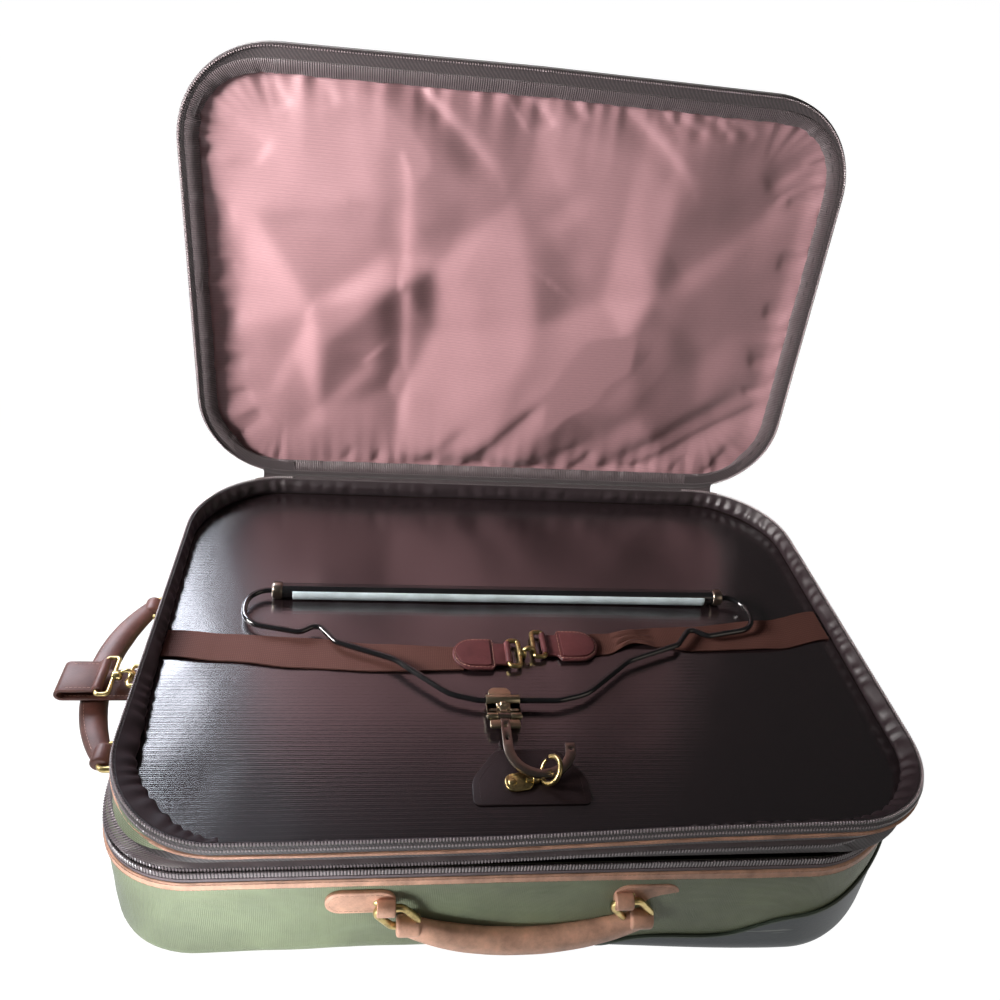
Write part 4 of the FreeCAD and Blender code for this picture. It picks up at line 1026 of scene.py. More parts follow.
def guard_edge():
    """The guard's wavy upper edge, as points (x, z) read from its node, in order of x."""
    tops = {}
    for vertex in frame["nodes"]["corner_guard"].data.vertices:
        x = round(vertex.co.x, 4)
        tops[x] = max(tops.get(x, 0), vertex.co.z)
    edge = []
    for x in sorted(tops):
        if not edge or tops[x] > edge[-1][1]:
            edge.append((x, tops[x]))
    return edge


class BAG_OT_case(bpy.types.Operator):
    """Canvas case, its walls soft and creased, with openings for the wheels and the trolley"""

    bl_idname = "bag.case"
    bl_label = "Case"

    def execute(self, context):
        sizes = context.scene.bag_sizes
        edge = guard_edge()
        case = band("case_canvas", edge_rings(0, CASE_RIM), closed=False)
        edit(case)
        pick(case, "VERT", lambda vertex: vertex.co.z < 0.0001)
        bpy.ops.mesh.edge_face_add()
        face_out()

        def soften(co):
            _, out = core_and_out(co)
            if co.z < 0.002:
                return co
            up = co.z / CASE_RIM
            free = sin(pi * min(1, up)) ** 0.5
            under_guard = between(edge, co.x) - co.z
            free *= min(max(-under_guard / (8 * MM), 0), 1)
            drift = noise.noise(co * 16) * 1.3 * MM + noise.noise(co * 45) * 0.4 * MM
            swell = sizes.belly * free + drift * free
            if out.y < -0.9:
                swell -= fold_depth(co.x / MM, co.z / MM, CASE_FOLDS) * MM * free
            return co + out * min(swell, 1.6 * MM)

        shape(case, soften)
        shape(case, slump)
        thicken(case, 2.4 * MM)
        low = (-HALF_LENGTH - PAST, BEZEL_LOW.y - FIT, BEZEL_LOW.z - FIT)
        high = (BEZEL_HIGH.x + FIT, BEZEL_HIGH.y + FIT, BEZEL_HIGH.z + FIT)
        bezel_cutter = block("bezel_cutter", low, high)
        cut(case, bezel_cutter, *housing_cutters())
        dress(case, "case", "Olive nylon canvas", "olive_canvas", "case_shell")

        lining = copied(frame["nodes"]["case_lining"], "case_inner_lining")
        lining.parent = None
        edit(lining)
        bpy.ops.mesh.remove_doubles(threshold=0.00002)
        bpy.ops.mesh.tris_convert_to_quads()
        bpy.ops.mesh.subdivide(number_cuts=3)
        leave()
        shape(lining, lambda co: co + Vector((0, 0, min(0, noise.noise(co * 22)) * 0.6 * MM)))
        shape(lining, slump)
        dress(lining, "case", "Brown satin", "brown_satin", "case_lining")
        return {"FINISHED"}


class BAG_OT_guard(bpy.types.Operator):
    """Slate vinyl guard round the wheel end, with piping along its wavy edge"""

    bl_idname = "bag.guard"
    bl_label = "Corner guard"

    def execute(self, context):
        edge = guard_edge()
        first = edge[0][0]
        top = edge[-1][1]
        guard = band("corner_guard_vinyl", edge_rings(GUARD_OUT, top, 5 * MM), closed=False, step=3 * MM)
        edit(guard)
        pick(guard, "VERT", lambda vertex: vertex.co.x < first - 2 * MM)
        bpy.ops.mesh.delete(type="VERT")
        leave()

        def under_edge(co):
            z = co.z * max(between(edge, co.x), 0.2 * MM) / top
            return at_inset(co, edge_inset(z) - GUARD_OUT, z)

        shape(guard, under_edge)
        shape(guard, slump)
        thicken(guard, 1.2 * MM)
        cut(guard, *housing_cutters())
        dress(guard, "case", "Slate vinyl", "slate_guard", "corner_guard")

        points = []
        for side in (-1, 1):
            run = []
            for i in range(121):
                x = first + (HALF_LENGTH - first) * sin(pi / 2 * i / 120)
                over = min(max(x - STRAIGHT_X, 0), CORNER)
                y = STRAIGHT_Y + sqrt(CORNER ** 2 - over ** 2)
                z = max(between(edge, x), PIPING)
                run.append(slump(at_inset(Vector((x, side * y, z)), edge_inset(z) - 1.2 * MM, z)))
            points += run if side < 0 else run[::-1]
        piping = path("corner_guard_piping", points)
        piping.data.twist_mode = "MINIMUM"
        piping.data.bevel_depth = PIPING
        piping.data.bevel_resolution = 2
        piping.data.use_fill_caps = True
        only(piping)
        bpy.ops.object.convert(target="MESH")
        dress(piping, "case", "Green vinyl piping", "olive_canvas")
        return {"FINISHED"}


class BAG_OT_welts(bpy.types.Operator):
    """Leather welts round the case and the tray, each with its rows of stitches"""

    bl_idname = "bag.welts"
    bl_label = "Welts"

    def execute(self, context):
        for name, body, low, top, out, gap, move in (
            ("case_welt", "case", WELT_LOW - 0.5 * MM, WELT_TOP, 2.2 * MM, False, slump),
            ("tray_welt", "tray", TRAY_WELT_FOOT, TRAY_WELT_LOW + 0.4 * MM, 1.8 * MM, True, sway),
        ):
            high = top - low
            rings = [
                (0.4 * MM, low), (-out * 0.7, low + 0.1 * high), (-out, low + 0.25 * high),
                (-out * 0.8, low + 0.5 * high), (-out, low + 0.78 * high), (-out * 0.6, low + 0.95 * high),
                (0.4 * MM, top),
            ]
            welt = band(name + "_leather", rings, gap=gap)
            shape(welt, lambda co: co + core_and_out(co)[1] * noise.noise(co * 40) * 0.35 * MM)
            rows = []
            for part in ((0.2, 0.8) if high > 6 * MM else (0.5,)):
                z = low + part * high
                helper = outline_path(name + "_row", -out + 0.05 * MM, z, gap=gap)
                rows.append(stitches(name + "_stitches", helper))
            thread = joined(name + "_stitches", rows)
            shape(welt, move)
            shape(thread, move)
            dress(welt, body, "Tan leather", "tan_leather", name)
            dress(thread, body, "Waxed thread", "tan_leather")
        return {"FINISHED"}


class BAG_OT_zips(bpy.types.Operator):
    """Zip tapes and rows of coil round the case and the tray"""

    bl_idname = "bag.zips"
    bl_label = "Zips"

    def execute(self, context):
        pitch = context.scene.bag_sizes.tooth_pitch

        def coil(name, inset, z, tall, shift=0.0):
            unit = tooth(name, pitch * 0.72, tall)
            carry(unit, (shift, 0, 0))
            return row(unit, outline_path(name + "_row", inset, z), pitch)

        rings = rings_at(WELT_TOP, (0.3, 0), (-0.9, 0), (-0.7, 4))
        rings += rings_at(CASE_RIM, (-0.4, -1), (0.4, 0.8), (1.6, 0.4))
        tape = band("case_tape", rings, gap=True)
        # A paler band of the tape just above the welt: painted light.
        rings = rings_at(WELT_TOP, (-0.7, 1.2), (-1.3, 1.3), (-1.2, 3.8), (-0.6, 4))
        lit_tape_strip = band("case_tape_lit_strip", rings, gap=True)
        teeth = coil("case_coil", -0.6 * MM, CASE_RIM - 1 * MM, 4.8 * MM)
        for piece in (tape, lit_tape_strip, teeth):
            shape(piece, slump)
        dress(tape, "case", "Twill zip tape", "zip_tape", "case_zip_tape")
        dress(lit_tape_strip, "case", "Zip tape edge", "zip_tape")
        dress(teeth, "case", "Nylon zip coil", "zip_coil", "case_zip_teeth")

        rings = rings_at(TRAY_WELT_FOOT, (0.3, 0), (-0.8, 0))
        rings += rings_at(TRAY_LOW, (-0.7, 3), (0.5, -1.2), (1.6, -5), (1.7, -8.4), (2.6, -8.4), (2.5, -5))
        rings += rings_at(TRAY_LOW, (1.5, -0.8), (0.4, 3))
        tape = band("tray_tape", rings, gap=True)
        rings = rings_at(TRAY_WELT_FOOT, (0.3, 3), (-0.8, 3))
        rings += rings_at(TRAY_RIM, (-0.7, -1), (0.6, 0.7), (2.4, 0.3), (2.2, -1))
        rim_tape = band("tray_rim_tape", rings)
        teeth = joined("tray_coil", [
            coil("main", -0.4 * MM, TRAY_LOW + 1 * MM, 4.4 * MM, pitch / 2),
            coil("loose", 1.2 * MM, TRAY_LOW - 6.4 * MM, 2.8 * MM),
            coil("rim", 0.5 * MM, TRAY_RIM + 0.6 * MM, 2.4 * MM),
            coil("rim", -0.7 * MM, TRAY_RIM - 3 * MM, 1.6 * MM, pitch / 2),
        ])
        for piece in (tape, rim_tape, teeth):
            shape(piece, sway)
        dress(tape, "tray", "Twill zip tape", "zip_tape", "tray_zip_tape")
        dress(rim_tape, "tray", "Twill zip tape", "zip_tape")
        dress(teeth, "tray", "Nylon zip coil", "zip_coil", "tray_zip_teeth")
        return {"FINISHED"}


class BAG_OT_hinges(bpy.types.Operator):
    """Cloth hinges at the back, between the case and the tray and between the tray and the lid"""

    bl_idname = "bag.hinges"
    bl_label = "Hinges"

    def execute(self, context):
        for name, node, lower, upper, z, reach, extra in (
            ("case_hinge_cloth", "case_hinge", "case", "tray", MAIN_PARTING, 7 * MM, 0),
            ("lid_hinge_cloth", "lid_hinge", "tray", "lid", LID_PARTING, 6 * MM, 28 * MM),
        ):
            strip = begin(
                name, bpy.ops.mesh.primitive_grid_add, x_subdivisions=80, y_subdivisions=14, size=2,
                location=(0, HINGE_Y, z), rotation=(pi / 2, 0, 0),
            )
            settle(strip, (HINGE_HALF + extra, reach, 1))

            def roll(co):
                bead = exp(-((co.z - z) / (1.6 * MM)) ** 2)
                wave = noise.noise(co * 60) * 0.2 * MM
                # Past the straight back it parts, one edge round the tray's corner and one up the lid's.
                over = max(abs(co.x) - HALF_LENGTH + CORNER, 0)
                drop = CORNER - sqrt(CORNER ** 2 - over ** 2)
                part = smooth((co.z - z) / (4 * MM) + 0.5)
                away = Vector((0, -drop * (1 - part), drop * part))
                return co + Vector((0, -0.6 * MM + bead * 1.3 * MM + wave, 0)) + away

            shape(strip, roll)
            thicken(strip, 0.9 * MM, 0)
            dress(strip, None, "Twill zip tape", "zip_tape", node)
            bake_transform(strip)
        return {"FINISHED"}


GUSSET_INSET = 2.6 * MM      # the satin's edges are sewn this far in
GUSSET_TOP = TRAY_RIM + 0.6 * MM
# How far the gathered satin stands in over the divider, mm: along the outline, reach
GUSSET_REACH = (
    (0, 5), (35, 5), (177, 9), (263, 12), (324, 9), (438, 7), (552, 7), (614, 9), (675, 6), (877, 5),
    (1079, 6), (1140, 8), (1201, 5), (1251, 6), (1327, 8), (1367, 10), (1430, 14), (1490, 17), (1552, 10),
    (1569, 8), (1661, 4), (1754, 5),
)


class BAG_OT_tray(bpy.types.Operator):
    """Canvas wall of the tray and the gathered satin gusset inside it"""

    bl_idname = "bag.tray"
    bl_label = "Tray"

    def execute(self, context):
        sizes = context.scene.bag_sizes
        rings = rings_at(TRAY_LOW, (0, 0), (0, 6), (-0.2, 12))
        rings += rings_at(TRAY_RIM, (0, 0), (2.2, 0)) + rings_at(TRAY_LOW, (2.4, 0))
        wall = band("tray_canvas", rings)
        shape(wall, sway)
        dress(wall, "tray", "Olive nylon canvas", "olive_canvas", "tray_wall")

        drop = 15 * MM
        rings = []
        for i in range(11):
            part = i / 10
            bulge = 5 * MM * sin(0.8 * pi * part)
            rings.append((GUSSET_INSET + bulge, GUSSET_TOP - drop * part))
        gusset = band("gusset_satin", rings, closed=False, step=2 * MM)

        def ruche(co):
            along = round_the_bag(co)
            down = min(max((GUSSET_TOP - co.z) / drop, 0), 1)
            bulge = sin(0.8 * pi * down)
            reach = between(GUSSET_REACH, along / MM, True) * MM
            beat = along / (12.5 * MM) + 1.4 * noise.noise(Vector((along * 28, 3.1, 0)))
            pleat = sin(2 * pi * beat + 1.5 * noise.noise(Vector((along * 70, down * 2, 7))))
            drift = noise.noise(Vector((along * 30, down * 3, 1.7)))
            lift = sizes.gather * bulge * (1 - 0.9 * down ** 2) * (0.7 * pleat + 0.7 * drift)
            inset = GUSSET_INSET + (reach - GUSSET_INSET) * bulge + lift
            return at_inset(co, max(inset, GUSSET_INSET), max(co.z + 0.5 * lift, LAY))

        shape(gusset, ruche)
        shape(gusset, sway)
        thicken(gusset, 0.6 * MM, 1)
        dress(gusset, "tray", "Brown satin", "brown_satin", "tray_gusset_lining", smooth=80)
        return {"FINISHED"}


class BAG_OT_divider(bpy.types.Operator):
    """Stiff divider in ribbed nylon"""

    bl_idname = "bag.divider"
    bl_label = "Divider"

    def execute(self, context):
        inset = -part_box("divider_panel")[0].x
        cloth = rounded_grid("divider_nylon", HALF_LENGTH - inset, 7 * MM)

        def settle_cloth(co):
            dent = min(0, noise.noise(co * 9) * 1.2 * MM + noise.noise(co * 30) * 0.35 * MM)
            # Its corner at the wheel end keeps inside the tray, whose foot leans there.
            lean = context.scene.bag_sizes.slump * in_front(co) * smooth((co.x - 120 * MM) / (100 * MM))
            return Vector((co.x - lean, co.y, DIVIDER_TOP + dent))

        shape(cloth, settle_cloth)
        thicken(cloth, DIVIDER_TOP - DIVIDER_LOW)
        dress(cloth, "tray", "Brown ribbed nylon", "brown_nylon", "divider_panel")
        return {"FINISHED"}


# Lid, modelled closed over the tray and then stood up

LID_FOLDS = (
    (-99, 368, -30, 298, 7, 4.5), (-99, 372, -70, 340, 4, 2.5), (-106, 302, -102, 184, 7, 3.0),
    (-102, 190, -98, 36, 7, 4.0), (-7, 368, 15, 343, 4, 3.5), (30, 367, 41, 352, 3.5, 3.0),
    (72, 367, 141, 304, 6, 4.5), (107, 366, 120, 350, 3.5, 3.0), (124, 362, 146, 350, 3.5, 2.6),
    (153, 364, 170, 350, 3.5, 2.8), (174, 363, 190, 354, 3.5, 2.4), (216, 285, 131, 212, 16, 5.0),
    (-2, 330, 43, 262, 15, 3.0), (-186, 158, -223, 83, 9, 2.6), (-136, 116, -195, 51, 11, 3.4),
    (-28, 12, 42, 92, 7, 5.0), (-74, 10, -28, 57, 7, 3.2), (108, 10, 242, 104, 11, 6.0),
    (136, 10, 268, 96, 6, 4.0), (20, 9, 94, 46, 7, 3.4), (76, 9, 98, 36, 4, 3.0), (220, 14, 240, 48, 5, 3.2),
    (-270, 160, -238, 158, 5, 3.0), (-270, 118, -236, 116, 5, 2.6), (-270, 205, -240, 208, 5, 2.4),
    (-268, 250, -240, 256, 6, 2.0), (-262, 74, -234, 86, 5, 3.0), (-250, 44, -222, 66, 5, 3.0),
    (268, 150, 236, 140, 6, 3.2), (268, 196, 240, 190, 5, 2.6), (266, 238, 240, 240, 5, 2.4),
    (262, 116, 240, 104, 4, 2.4), (262, 300, 236, 296, 5, 2.4), (-210, 366, -196, 340, 5, 2.6),
    (-170, 368, -160, 346, 5, 1.8), (-236, 322, -210, 304, 8, 2.4), (-130, 262, -40, 232, 16, 2.4),
    (-230, 290, -120, 268, 12, 2.0), (-150, 10, -138, 34, 4, 2.4), (-122, 8, -112, 30, 3.5, 2.2),
    (240, 330, 214, 306, 6, 2.8), (180, 10, 196, 34, 4, 2.2), (60, 190, 150, 130, 22, 2.6),
)                            # in mm, across the lid and up from its hinge

# Billows of the lining as flat facets between points, in mm: across the lid, up from its hinge, rise
LID_FACETS = (
    (-220, 337, 3), (-121, 356, 9), (-97, 310, 10), (-109, 276, 9), (-10, 284, 3), (-46, 357, 4),
    (26, 355, 3), (7, 335, 0), (82, 195, 0), (91, 314, 3), (130, 323, 7), (125, 201, 7), (219, 283, -1),
    (209, 226, 1), (234, 296, -3), (-228, 256, 2), (-236, 214, -2), (-115, 223, -1), (-74, 216, 0),
    (-179, 175, 7), (-106, 199, 9), (-104, 22, 3), (-70, 155, -3), (-92, 98, -5), (23, 167, 7),
    (107, 159, 12), (64, 86, 10), (189, 150, 1), (235, 181, -2), (-250, 144, -2), (-191, 121, 0),
    (-173, 135, 7), (-248, 61, 1), (-173, 65, 3), (-9, 42, 9), (21, 20, 8), (100, 47, 1), (136, 80, 6),
    (194, 67, 0), (234, 131, 0), (260, 86, -3),
)
LID_FRAME = 11 * MM          # lining starts this far in, under the binding
LINING_CORNER = 52 * MM


def lining_facets():
    """The facets as a tree to look heights up in, level round the edge."""
    points = [Vector(point) for point in LID_FACETS]
    for x in (-285, -190, -95, 0, 95, 190, 285):
        points += [Vector((x, 2, 2)), Vector((x, 384, 2))]
    for up in (95, 190, 290):
        points += [Vector((-285, up, 1)), Vector((285, up, -4))]
    corners, _, faces, sources, *_ = delaunay_2d_cdt([point.xy for point in points], [], [], 0, 0.001)
    spots = [(*corner, points[source[0]].z) for corner, source in zip(corners, sources)]
    return BVHTree.FromPolygons(spots, faces)


def rack(co):
    """The open lid leans in at its wheel end, most at its free edge."""
    part = max(co.x, 0) / HALF_LENGTH * max(HINGE_Y - co.y, 0) / (2 * HALF_WIDTH)
    reach = bpy.context.scene.bag_sizes.rack * part
    return co + Vector((-reach, 0.4 * reach, 0))


class BAG_OT_lid(bpy.types.Operator):
    """Canvas lid with its zip, its bound edge and the loose satin lining"""

    bl_idname = "bag.lid"
    bl_label = "Lid"

    def execute(self, context):
        sizes = context.scene.bag_sizes
        round_over = 9 * MM
        rings = [(2.4 * MM, LID_PARTING + 2.2 * MM), (0, LID_PARTING + 2.2 * MM), (0, LID_TOP - round_over)]
        for i in range(1, 7):
            a = pi / 2 * i / 6
            rings.append((round_over * (1 - cos(a)), LID_TOP - round_over * (1 - sin(a))))
        wall = band("lid_side", rings, closed=False)
        top = rounded_grid("lid_top", round_over, 8 * MM)

        def quilt(co):
            edge = min(HALF_LENGTH - abs(co.x), HALF_WIDTH - abs(co.y)) - round_over
            free = min(1, max(0, edge) / (60 * MM))
            swell = 3.0 * MM * sin(free * pi / 2) + noise.noise(co * 11) * 1.6 * MM * free
            return Vector((co.x, co.y, LID_TOP + swell))

        shape(top, quilt)
        panel = joined("lid_canvas", [wall, top])
        edit(panel)
        face_out()
        thicken(panel, 2 * MM)

        rings = rings_at(LID_PARTING, (0.4, 1.4), (-0.7, 2.4), (-0.8, 9.5), (0.4, 10))
        tape = band("lid_outer_tape", rings, gap=True)
        rings = rings_at(LID_PARTING, (0.2, 1.8), (2.6, 1.2), (5, 2.2), (11, 3.4), (11.4, 5.0), (2, 4.4))
        facing = band("lid_tape_facing", rings, gap=True)
        unit = tooth("lid_coil", sizes.tooth_pitch * 0.72, 2.4 * MM)
        teeth = row(unit, outline_path("lid_row", 1.2 * MM, LID_PARTING + 0.9 * MM), sizes.tooth_pitch)
        rings = rings_at(LID_PARTING, (10.2, 3.8), (10.8, 2.2), (13, 1.8), (17, 3.2), (20.6, 5.2))
        rings += rings_at(LID_PARTING, (21.6, 6.6), (20, 8), (10.8, 6.4))
        binding = band("lid_edge_binding", rings, step=2 * MM)
        follow_band(binding)

        def pucker(co):
            core, out = core_and_out(co)
            along = round_the_bag(co)
            inner = smooth((CORNER - (co - core).length - 13 * MM) / (7 * MM))
            aside = 4 * out.x * out.x * out.y * out.y
            wave = noise.noise(Vector((along * 130, 2.0, 0)))
            wave += 0.7 * noise.noise(Vector((along * 40, 5.0, 0)))
            shift = max(9.5 * smooth((out.y - 0.4) / 0.6), 6 * out.x * out.x) + 3 * aside
            return co + out * (shift * MM + 1.2 * MM * wave * inner) + Vector((0, 0, 0.9 * MM * wave * inner))

        shape(binding, pucker)
        lining = rounded_grid("lid_satin", LID_FRAME, 2.7 * MM, LINING_CORNER + LID_FRAME)
        facets = lining_facets()

        def from_edge(co):
            x = max(abs(co.x) - HALF_LENGTH + LID_FRAME + LINING_CORNER, 0)
            y = max(abs(co.y) - HALF_WIDTH + LID_FRAME + LINING_CORNER, 0)
            return max(LINING_CORNER - hypot(x, y), 0)

        def billow(co):
            up = (HINGE_Y - co.y) / MM
            hit = facets.ray_cast(Vector((co.x / MM, up, 99)), Vector((0, 0, -1)))[0]
            rise = (hit.z * 1.3 - 2 if hit else 0) * smooth(from_edge(co) / (16 * MM))
            return Vector((co.x, co.y, LID_PARTING + (10 - rise) * MM))

        def crease(co):
            up = (HINGE_Y - co.y) / MM
            edge = from_edge(co)
            folds = 0.6 * fold_depth(co.x / MM, up, LID_FOLDS) * smooth(edge / (6 * MM))
            drift = noise.noise(Vector((co.x * 30, co.y * 30, 9.0))) * 0.9 * smooth(edge / (14 * MM))
            near = exp(-edge / (16 * MM)) * smooth(edge / (4 * MM))
            tuck = noise.noise(Vector((round_the_bag(co) * 95, 1.0, 3.0))) * 3.4 * near
            y = co.y + 6 * MM * smooth((60 * MM - HALF_WIDTH - co.y) / (49 * MM))
            y += 2 * MM * smooth((co.y - HALF_WIDTH + 60 * MM) / (49 * MM))
            z = co.z + (folds + drift + tuck) * MM
            return Vector((co.x, y, min(max(z, LID_PARTING + 0.5 * MM), LID_PARTING + 18 * MM)))

        shape(lining, billow)
        modify(lining, "SMOOTH", factor=0.5, iterations=24, use_x=False, use_y=False)
        shape(lining, crease)
        thicken(lining, 0.5 * MM, 1)
        for piece in (panel, tape, facing, teeth, binding, lining):
            shape(piece, rack)
            piece.data.transform(LID_UP)
        dress(panel, "lid", "Olive nylon canvas", "olive_canvas", "lid_panel")
        dress(tape, "lid", "Twill zip tape", "zip_tape", "lid_zip_tape")
        dress(facing, "lid", "Twill zip tape", "zip_tape")
        dress(teeth, "lid", "Nylon zip coil", "zip_coil", "lid_zip_teeth")
        dress(binding, "lid", "Grosgrain ribbon", "grosgrain", "lid_binding")
        dress(lining, "lid", "Mauve ribbed satin", "mauve_satin", "lid_lining", smooth=80)
        return {"FINISHED"}


# Straps, tabs, clasp and patch on the divider

STRAP_ENDS = ((mm(-44, -25, 0), 1), (mm(58, -15, 0), -1))      # where a tab begins, and its way along X
LEFT_WEBBING = ((-272, -15, 27), (-225, -19, 28), (-170, -24, 31), (-110, -28.5, 28), (-44, -29, 24))
RIGHT_WEBBING = (
    (54, -14, 24), (72, -12, 23), (98, -5, 14), (122, -4, 22), (146, -5, 27), (220, 1, 33), (272, 13, 34),
)                            # mm: along the bag, middle of the strap, its width
TAB_REACH = 36 * MM          # from a strap's end to the clasp
TAB_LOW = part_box("strap_tabs")[0].z
CLASP_Z = TAB_LOW + 2.8 * MM


def stadium(long, wide):
    """Corners of a plate long along X that is rounded to half its width."""
    x = long / 2
    y = wide / 2
    return ((x, -y), (x, y), (-x, y), (-x, -y))


def loop_of_wire(name, x0, x1, y, half, z, bend, radius):
    points = [(x0, y - half, z), (x1, y - half, z), (x1, y + half, z), (x0, y + half, z)]
    return drawn(name, points, [bend] * 4, 2 * radius, closed=True, sides=10)


def tab_corners(side, outer, inner, half, neck, reach):
    """Outline of a strap tab in mm: round at its outer end, with a narrower neck up to the clasp at 0."""
    corners = []
    for i in range(13):
        a = radians(15 * i - 90)
        corners.append((outer - half + half * cos(a), half * sin(a)))
    corners += [(inner + 2, half), (inner - 1, neck), (reach, neck), (reach, -neck), (inner - 1, -neck)]
    corners.append((inner + 2, -half))
    return [(-side * x * MM, y * MM) for x, y in corners]


class BAG_OT_straps(bpy.types.Operator):
    """Elastic straps with their leather tabs and brass clasp"""

    bl_idname = "bag.straps"
    bl_label = "Straps"

    def execute(self, context):
        straps = []
        for line, name in ((LEFT_WEBBING, "left"), (RIGHT_WEBBING, "right")):
            middle_line = [(x, middle) for x, middle, wide in line]
            width_line = [(x, wide) for x, middle, wide in line]
            strap = begin(
                "elastic_strap_" + name, bpy.ops.mesh.primitive_grid_add, x_subdivisions=140,
                y_subdivisions=12, size=1, location=((line[0][0] + line[-1][0]) / 2 * MM, 0, 0),
            )
            settle(strap, ((line[-1][0] - line[0][0]) * MM, 1, 1))
            layer = strap.data.uv_layers[0]
            for loop in strap.data.loops:
                co = strap.data.vertices[loop.vertex_index].co
                layer.data[loop.index].uv = (co.x, co.y * 27 * MM)

            def lie(co):
                x = co.x / MM
                wide = between(width_line, x, True)
                wave = 0.9 * noise.noise(Vector((x * 0.03, co.y * 0.6, line[0][0])))
                buckle = max(0, 21 - wide) * 0.3 * (1 + cos(co.y * 5 * pi))
                height = max(wave, -0.1) + buckle + 0.35 * abs(2 * co.y) ** 8
                return Vector((co.x, (between(middle_line, x, True) + co.y * wide) * MM, LAY + height * MM))

            shape(strap, lie)
            thicken(strap, 1.1 * MM, 1)
            straps.append(strap)
        webbing = joined("elastic_straps_webbing", straps)
        dress(webbing, "tray", "Elastic webbing", "elastic", "elastic_straps")

        tabs = []
        rows = []
        ends = []
        for (x, y, _), side in STRAP_ENDS:
            end_x = x + side * TAB_REACH
            tab = plate("tab", tab_corners(side, 44, 11, 16, 11, 0), 0.8 * MM, 0, 2.6 * MM, 0.8 * MM, 2)
            pad_corners = tab_corners(side, 41, 15, 13, 12.4, 14.4)
            pad = plate("tab", pad_corners, 0.5 * MM, 2.4 * MM, 1.3 * MM, 1.0 * MM, 2)
            eye_points = [(0, -10.6 * MM, 2.8 * MM), (0, 10.6 * MM, 2.8 * MM)]
            eye = drawn("eye", eye_points, [0, 0], 5.6 * MM, sides=16)
            tab = joined("tab", [tab, pad, eye])
            seam = [(cx, cy, 2.75 * MM) for cx, cy in tab_corners(side, 42.4, 13, 14.4, 14.2, 12)]
            thread = sewn("seam", seam, True)
            for piece in (tab, thread):
                carry(piece, (end_x, y - 1 * MM, TAB_LOW))
            tabs.append(tab)
            rows.append(thread)
            ends.append(Vector((end_x, y - 1 * MM, CLASP_Z)))
        dress(joined("strap_tab_leather", tabs), "tray", "Oxblood leather", "oxblood_leather", "strap_tabs")
        dress(joined("strap_tab_stitches", rows), "tray", "Waxed thread", "oxblood_leather")

        left, right = ends
        wire = 1.9 * MM
        half = 13.4 * MM
        loop_left = loop_of_wire("clasp", left.x, left.x + 9 * MM, left.y, half, CLASP_Z, 3 * MM, wire)
        loop_right = loop_of_wire("clasp", right.x - 9 * MM, right.x, right.y, half, CLASP_Z, 3 * MM, wire)
        a = Vector((left.x + 8 * MM, left.y, CLASP_Z))
        b = Vector((left.x + 14 * MM, left.y, CLASP_Z))
        barrel = drawn("clasp", [a, b], [0, 0], 7.4 * MM, sides=16)
        ease(barrel, 1.2 * MM, 3)
        c = Vector((left.x + 13 * MM + 3.5 * MM, left.y, CLASP_Z + 1.2 * MM))
        r = 5 * MM
        hook_points = []
        for angle in (195, 140, 60, -20):
            t = radians(angle)
            reach = r / cos(radians(30)) if angle in (140, 60) else r
            hook_points.append(c + Vector((reach * cos(t), 0, reach * sin(t))))
        hook = drawn("clasp", hook_points, [0, r * 0.8, r * 0.8, 0], 2 * wire, normal=(0, 1, 0), sides=10)
        collars = []
        for part in (0.1, 0.75):
            start = a.lerp(b, part)
            collar = drawn("clasp", [start, start + (b - a) * 0.25], [0, 0], 9 * MM, sides=18)
            ease(collar, 0.6 * MM, 2)
            collars.append(collar)
        clasp = joined("strap_clasp_brass", [loop_left, loop_right, barrel, hook] + collars)
        dress(clasp, "tray", "Antique brass", "antique_brass", "strap_clasp")
        return {"FINISHED"}


SNAP_HEADING = radians(8)
SNAP_TILT = radians(55)
SNAP_RING = mm(8.325, -139.578, 126.672)
SNAP_RADIUS = 9 * MM
SNAP_AHEAD = Vector((cos(SNAP_HEADING), sin(SNAP_HEADING), 0))
SNAP_RISE = SNAP_AHEAD * cos(SNAP_TILT) + Vector((0, 0, sin(SNAP_TILT)))
SNAP_ASIDE = Vector((-SNAP_AHEAD.y, SNAP_AHEAD.x, 0))


def ring_point(angle, radius=SNAP_RADIUS):
    """A point of the tilted ring of the snap on the patch, in degrees from its far side."""
    t = radians(angle)
    return SNAP_RING + (SNAP_RISE * cos(t) + SNAP_ASIDE * sin(t)) * radius


def drawn_arc(name, point_at, radius, start, end, wire, normal):
    """Wire round part of a circle, whose points a function of angle and radius gives."""
    count = max(2, round(abs(end - start) / 30))
    step = (end - start) / count
    reach = radius / cos(radians(step / 2))
    points = [point_at(start, radius)]
    points += [point_at(start + step * (i + 0.5), reach) for i in range(count)]
    points += [point_at(end, radius)]
    return drawn(name, points, [radius * 0.98] * len(points), wire, normal=normal)


def arc_of_ring(name, start, end, wire):
    """Drawn wire round part of the ring."""
    return drawn_arc(name, ring_point, SNAP_RADIUS, start, end, wire, SNAP_RISE.cross(SNAP_ASIDE))


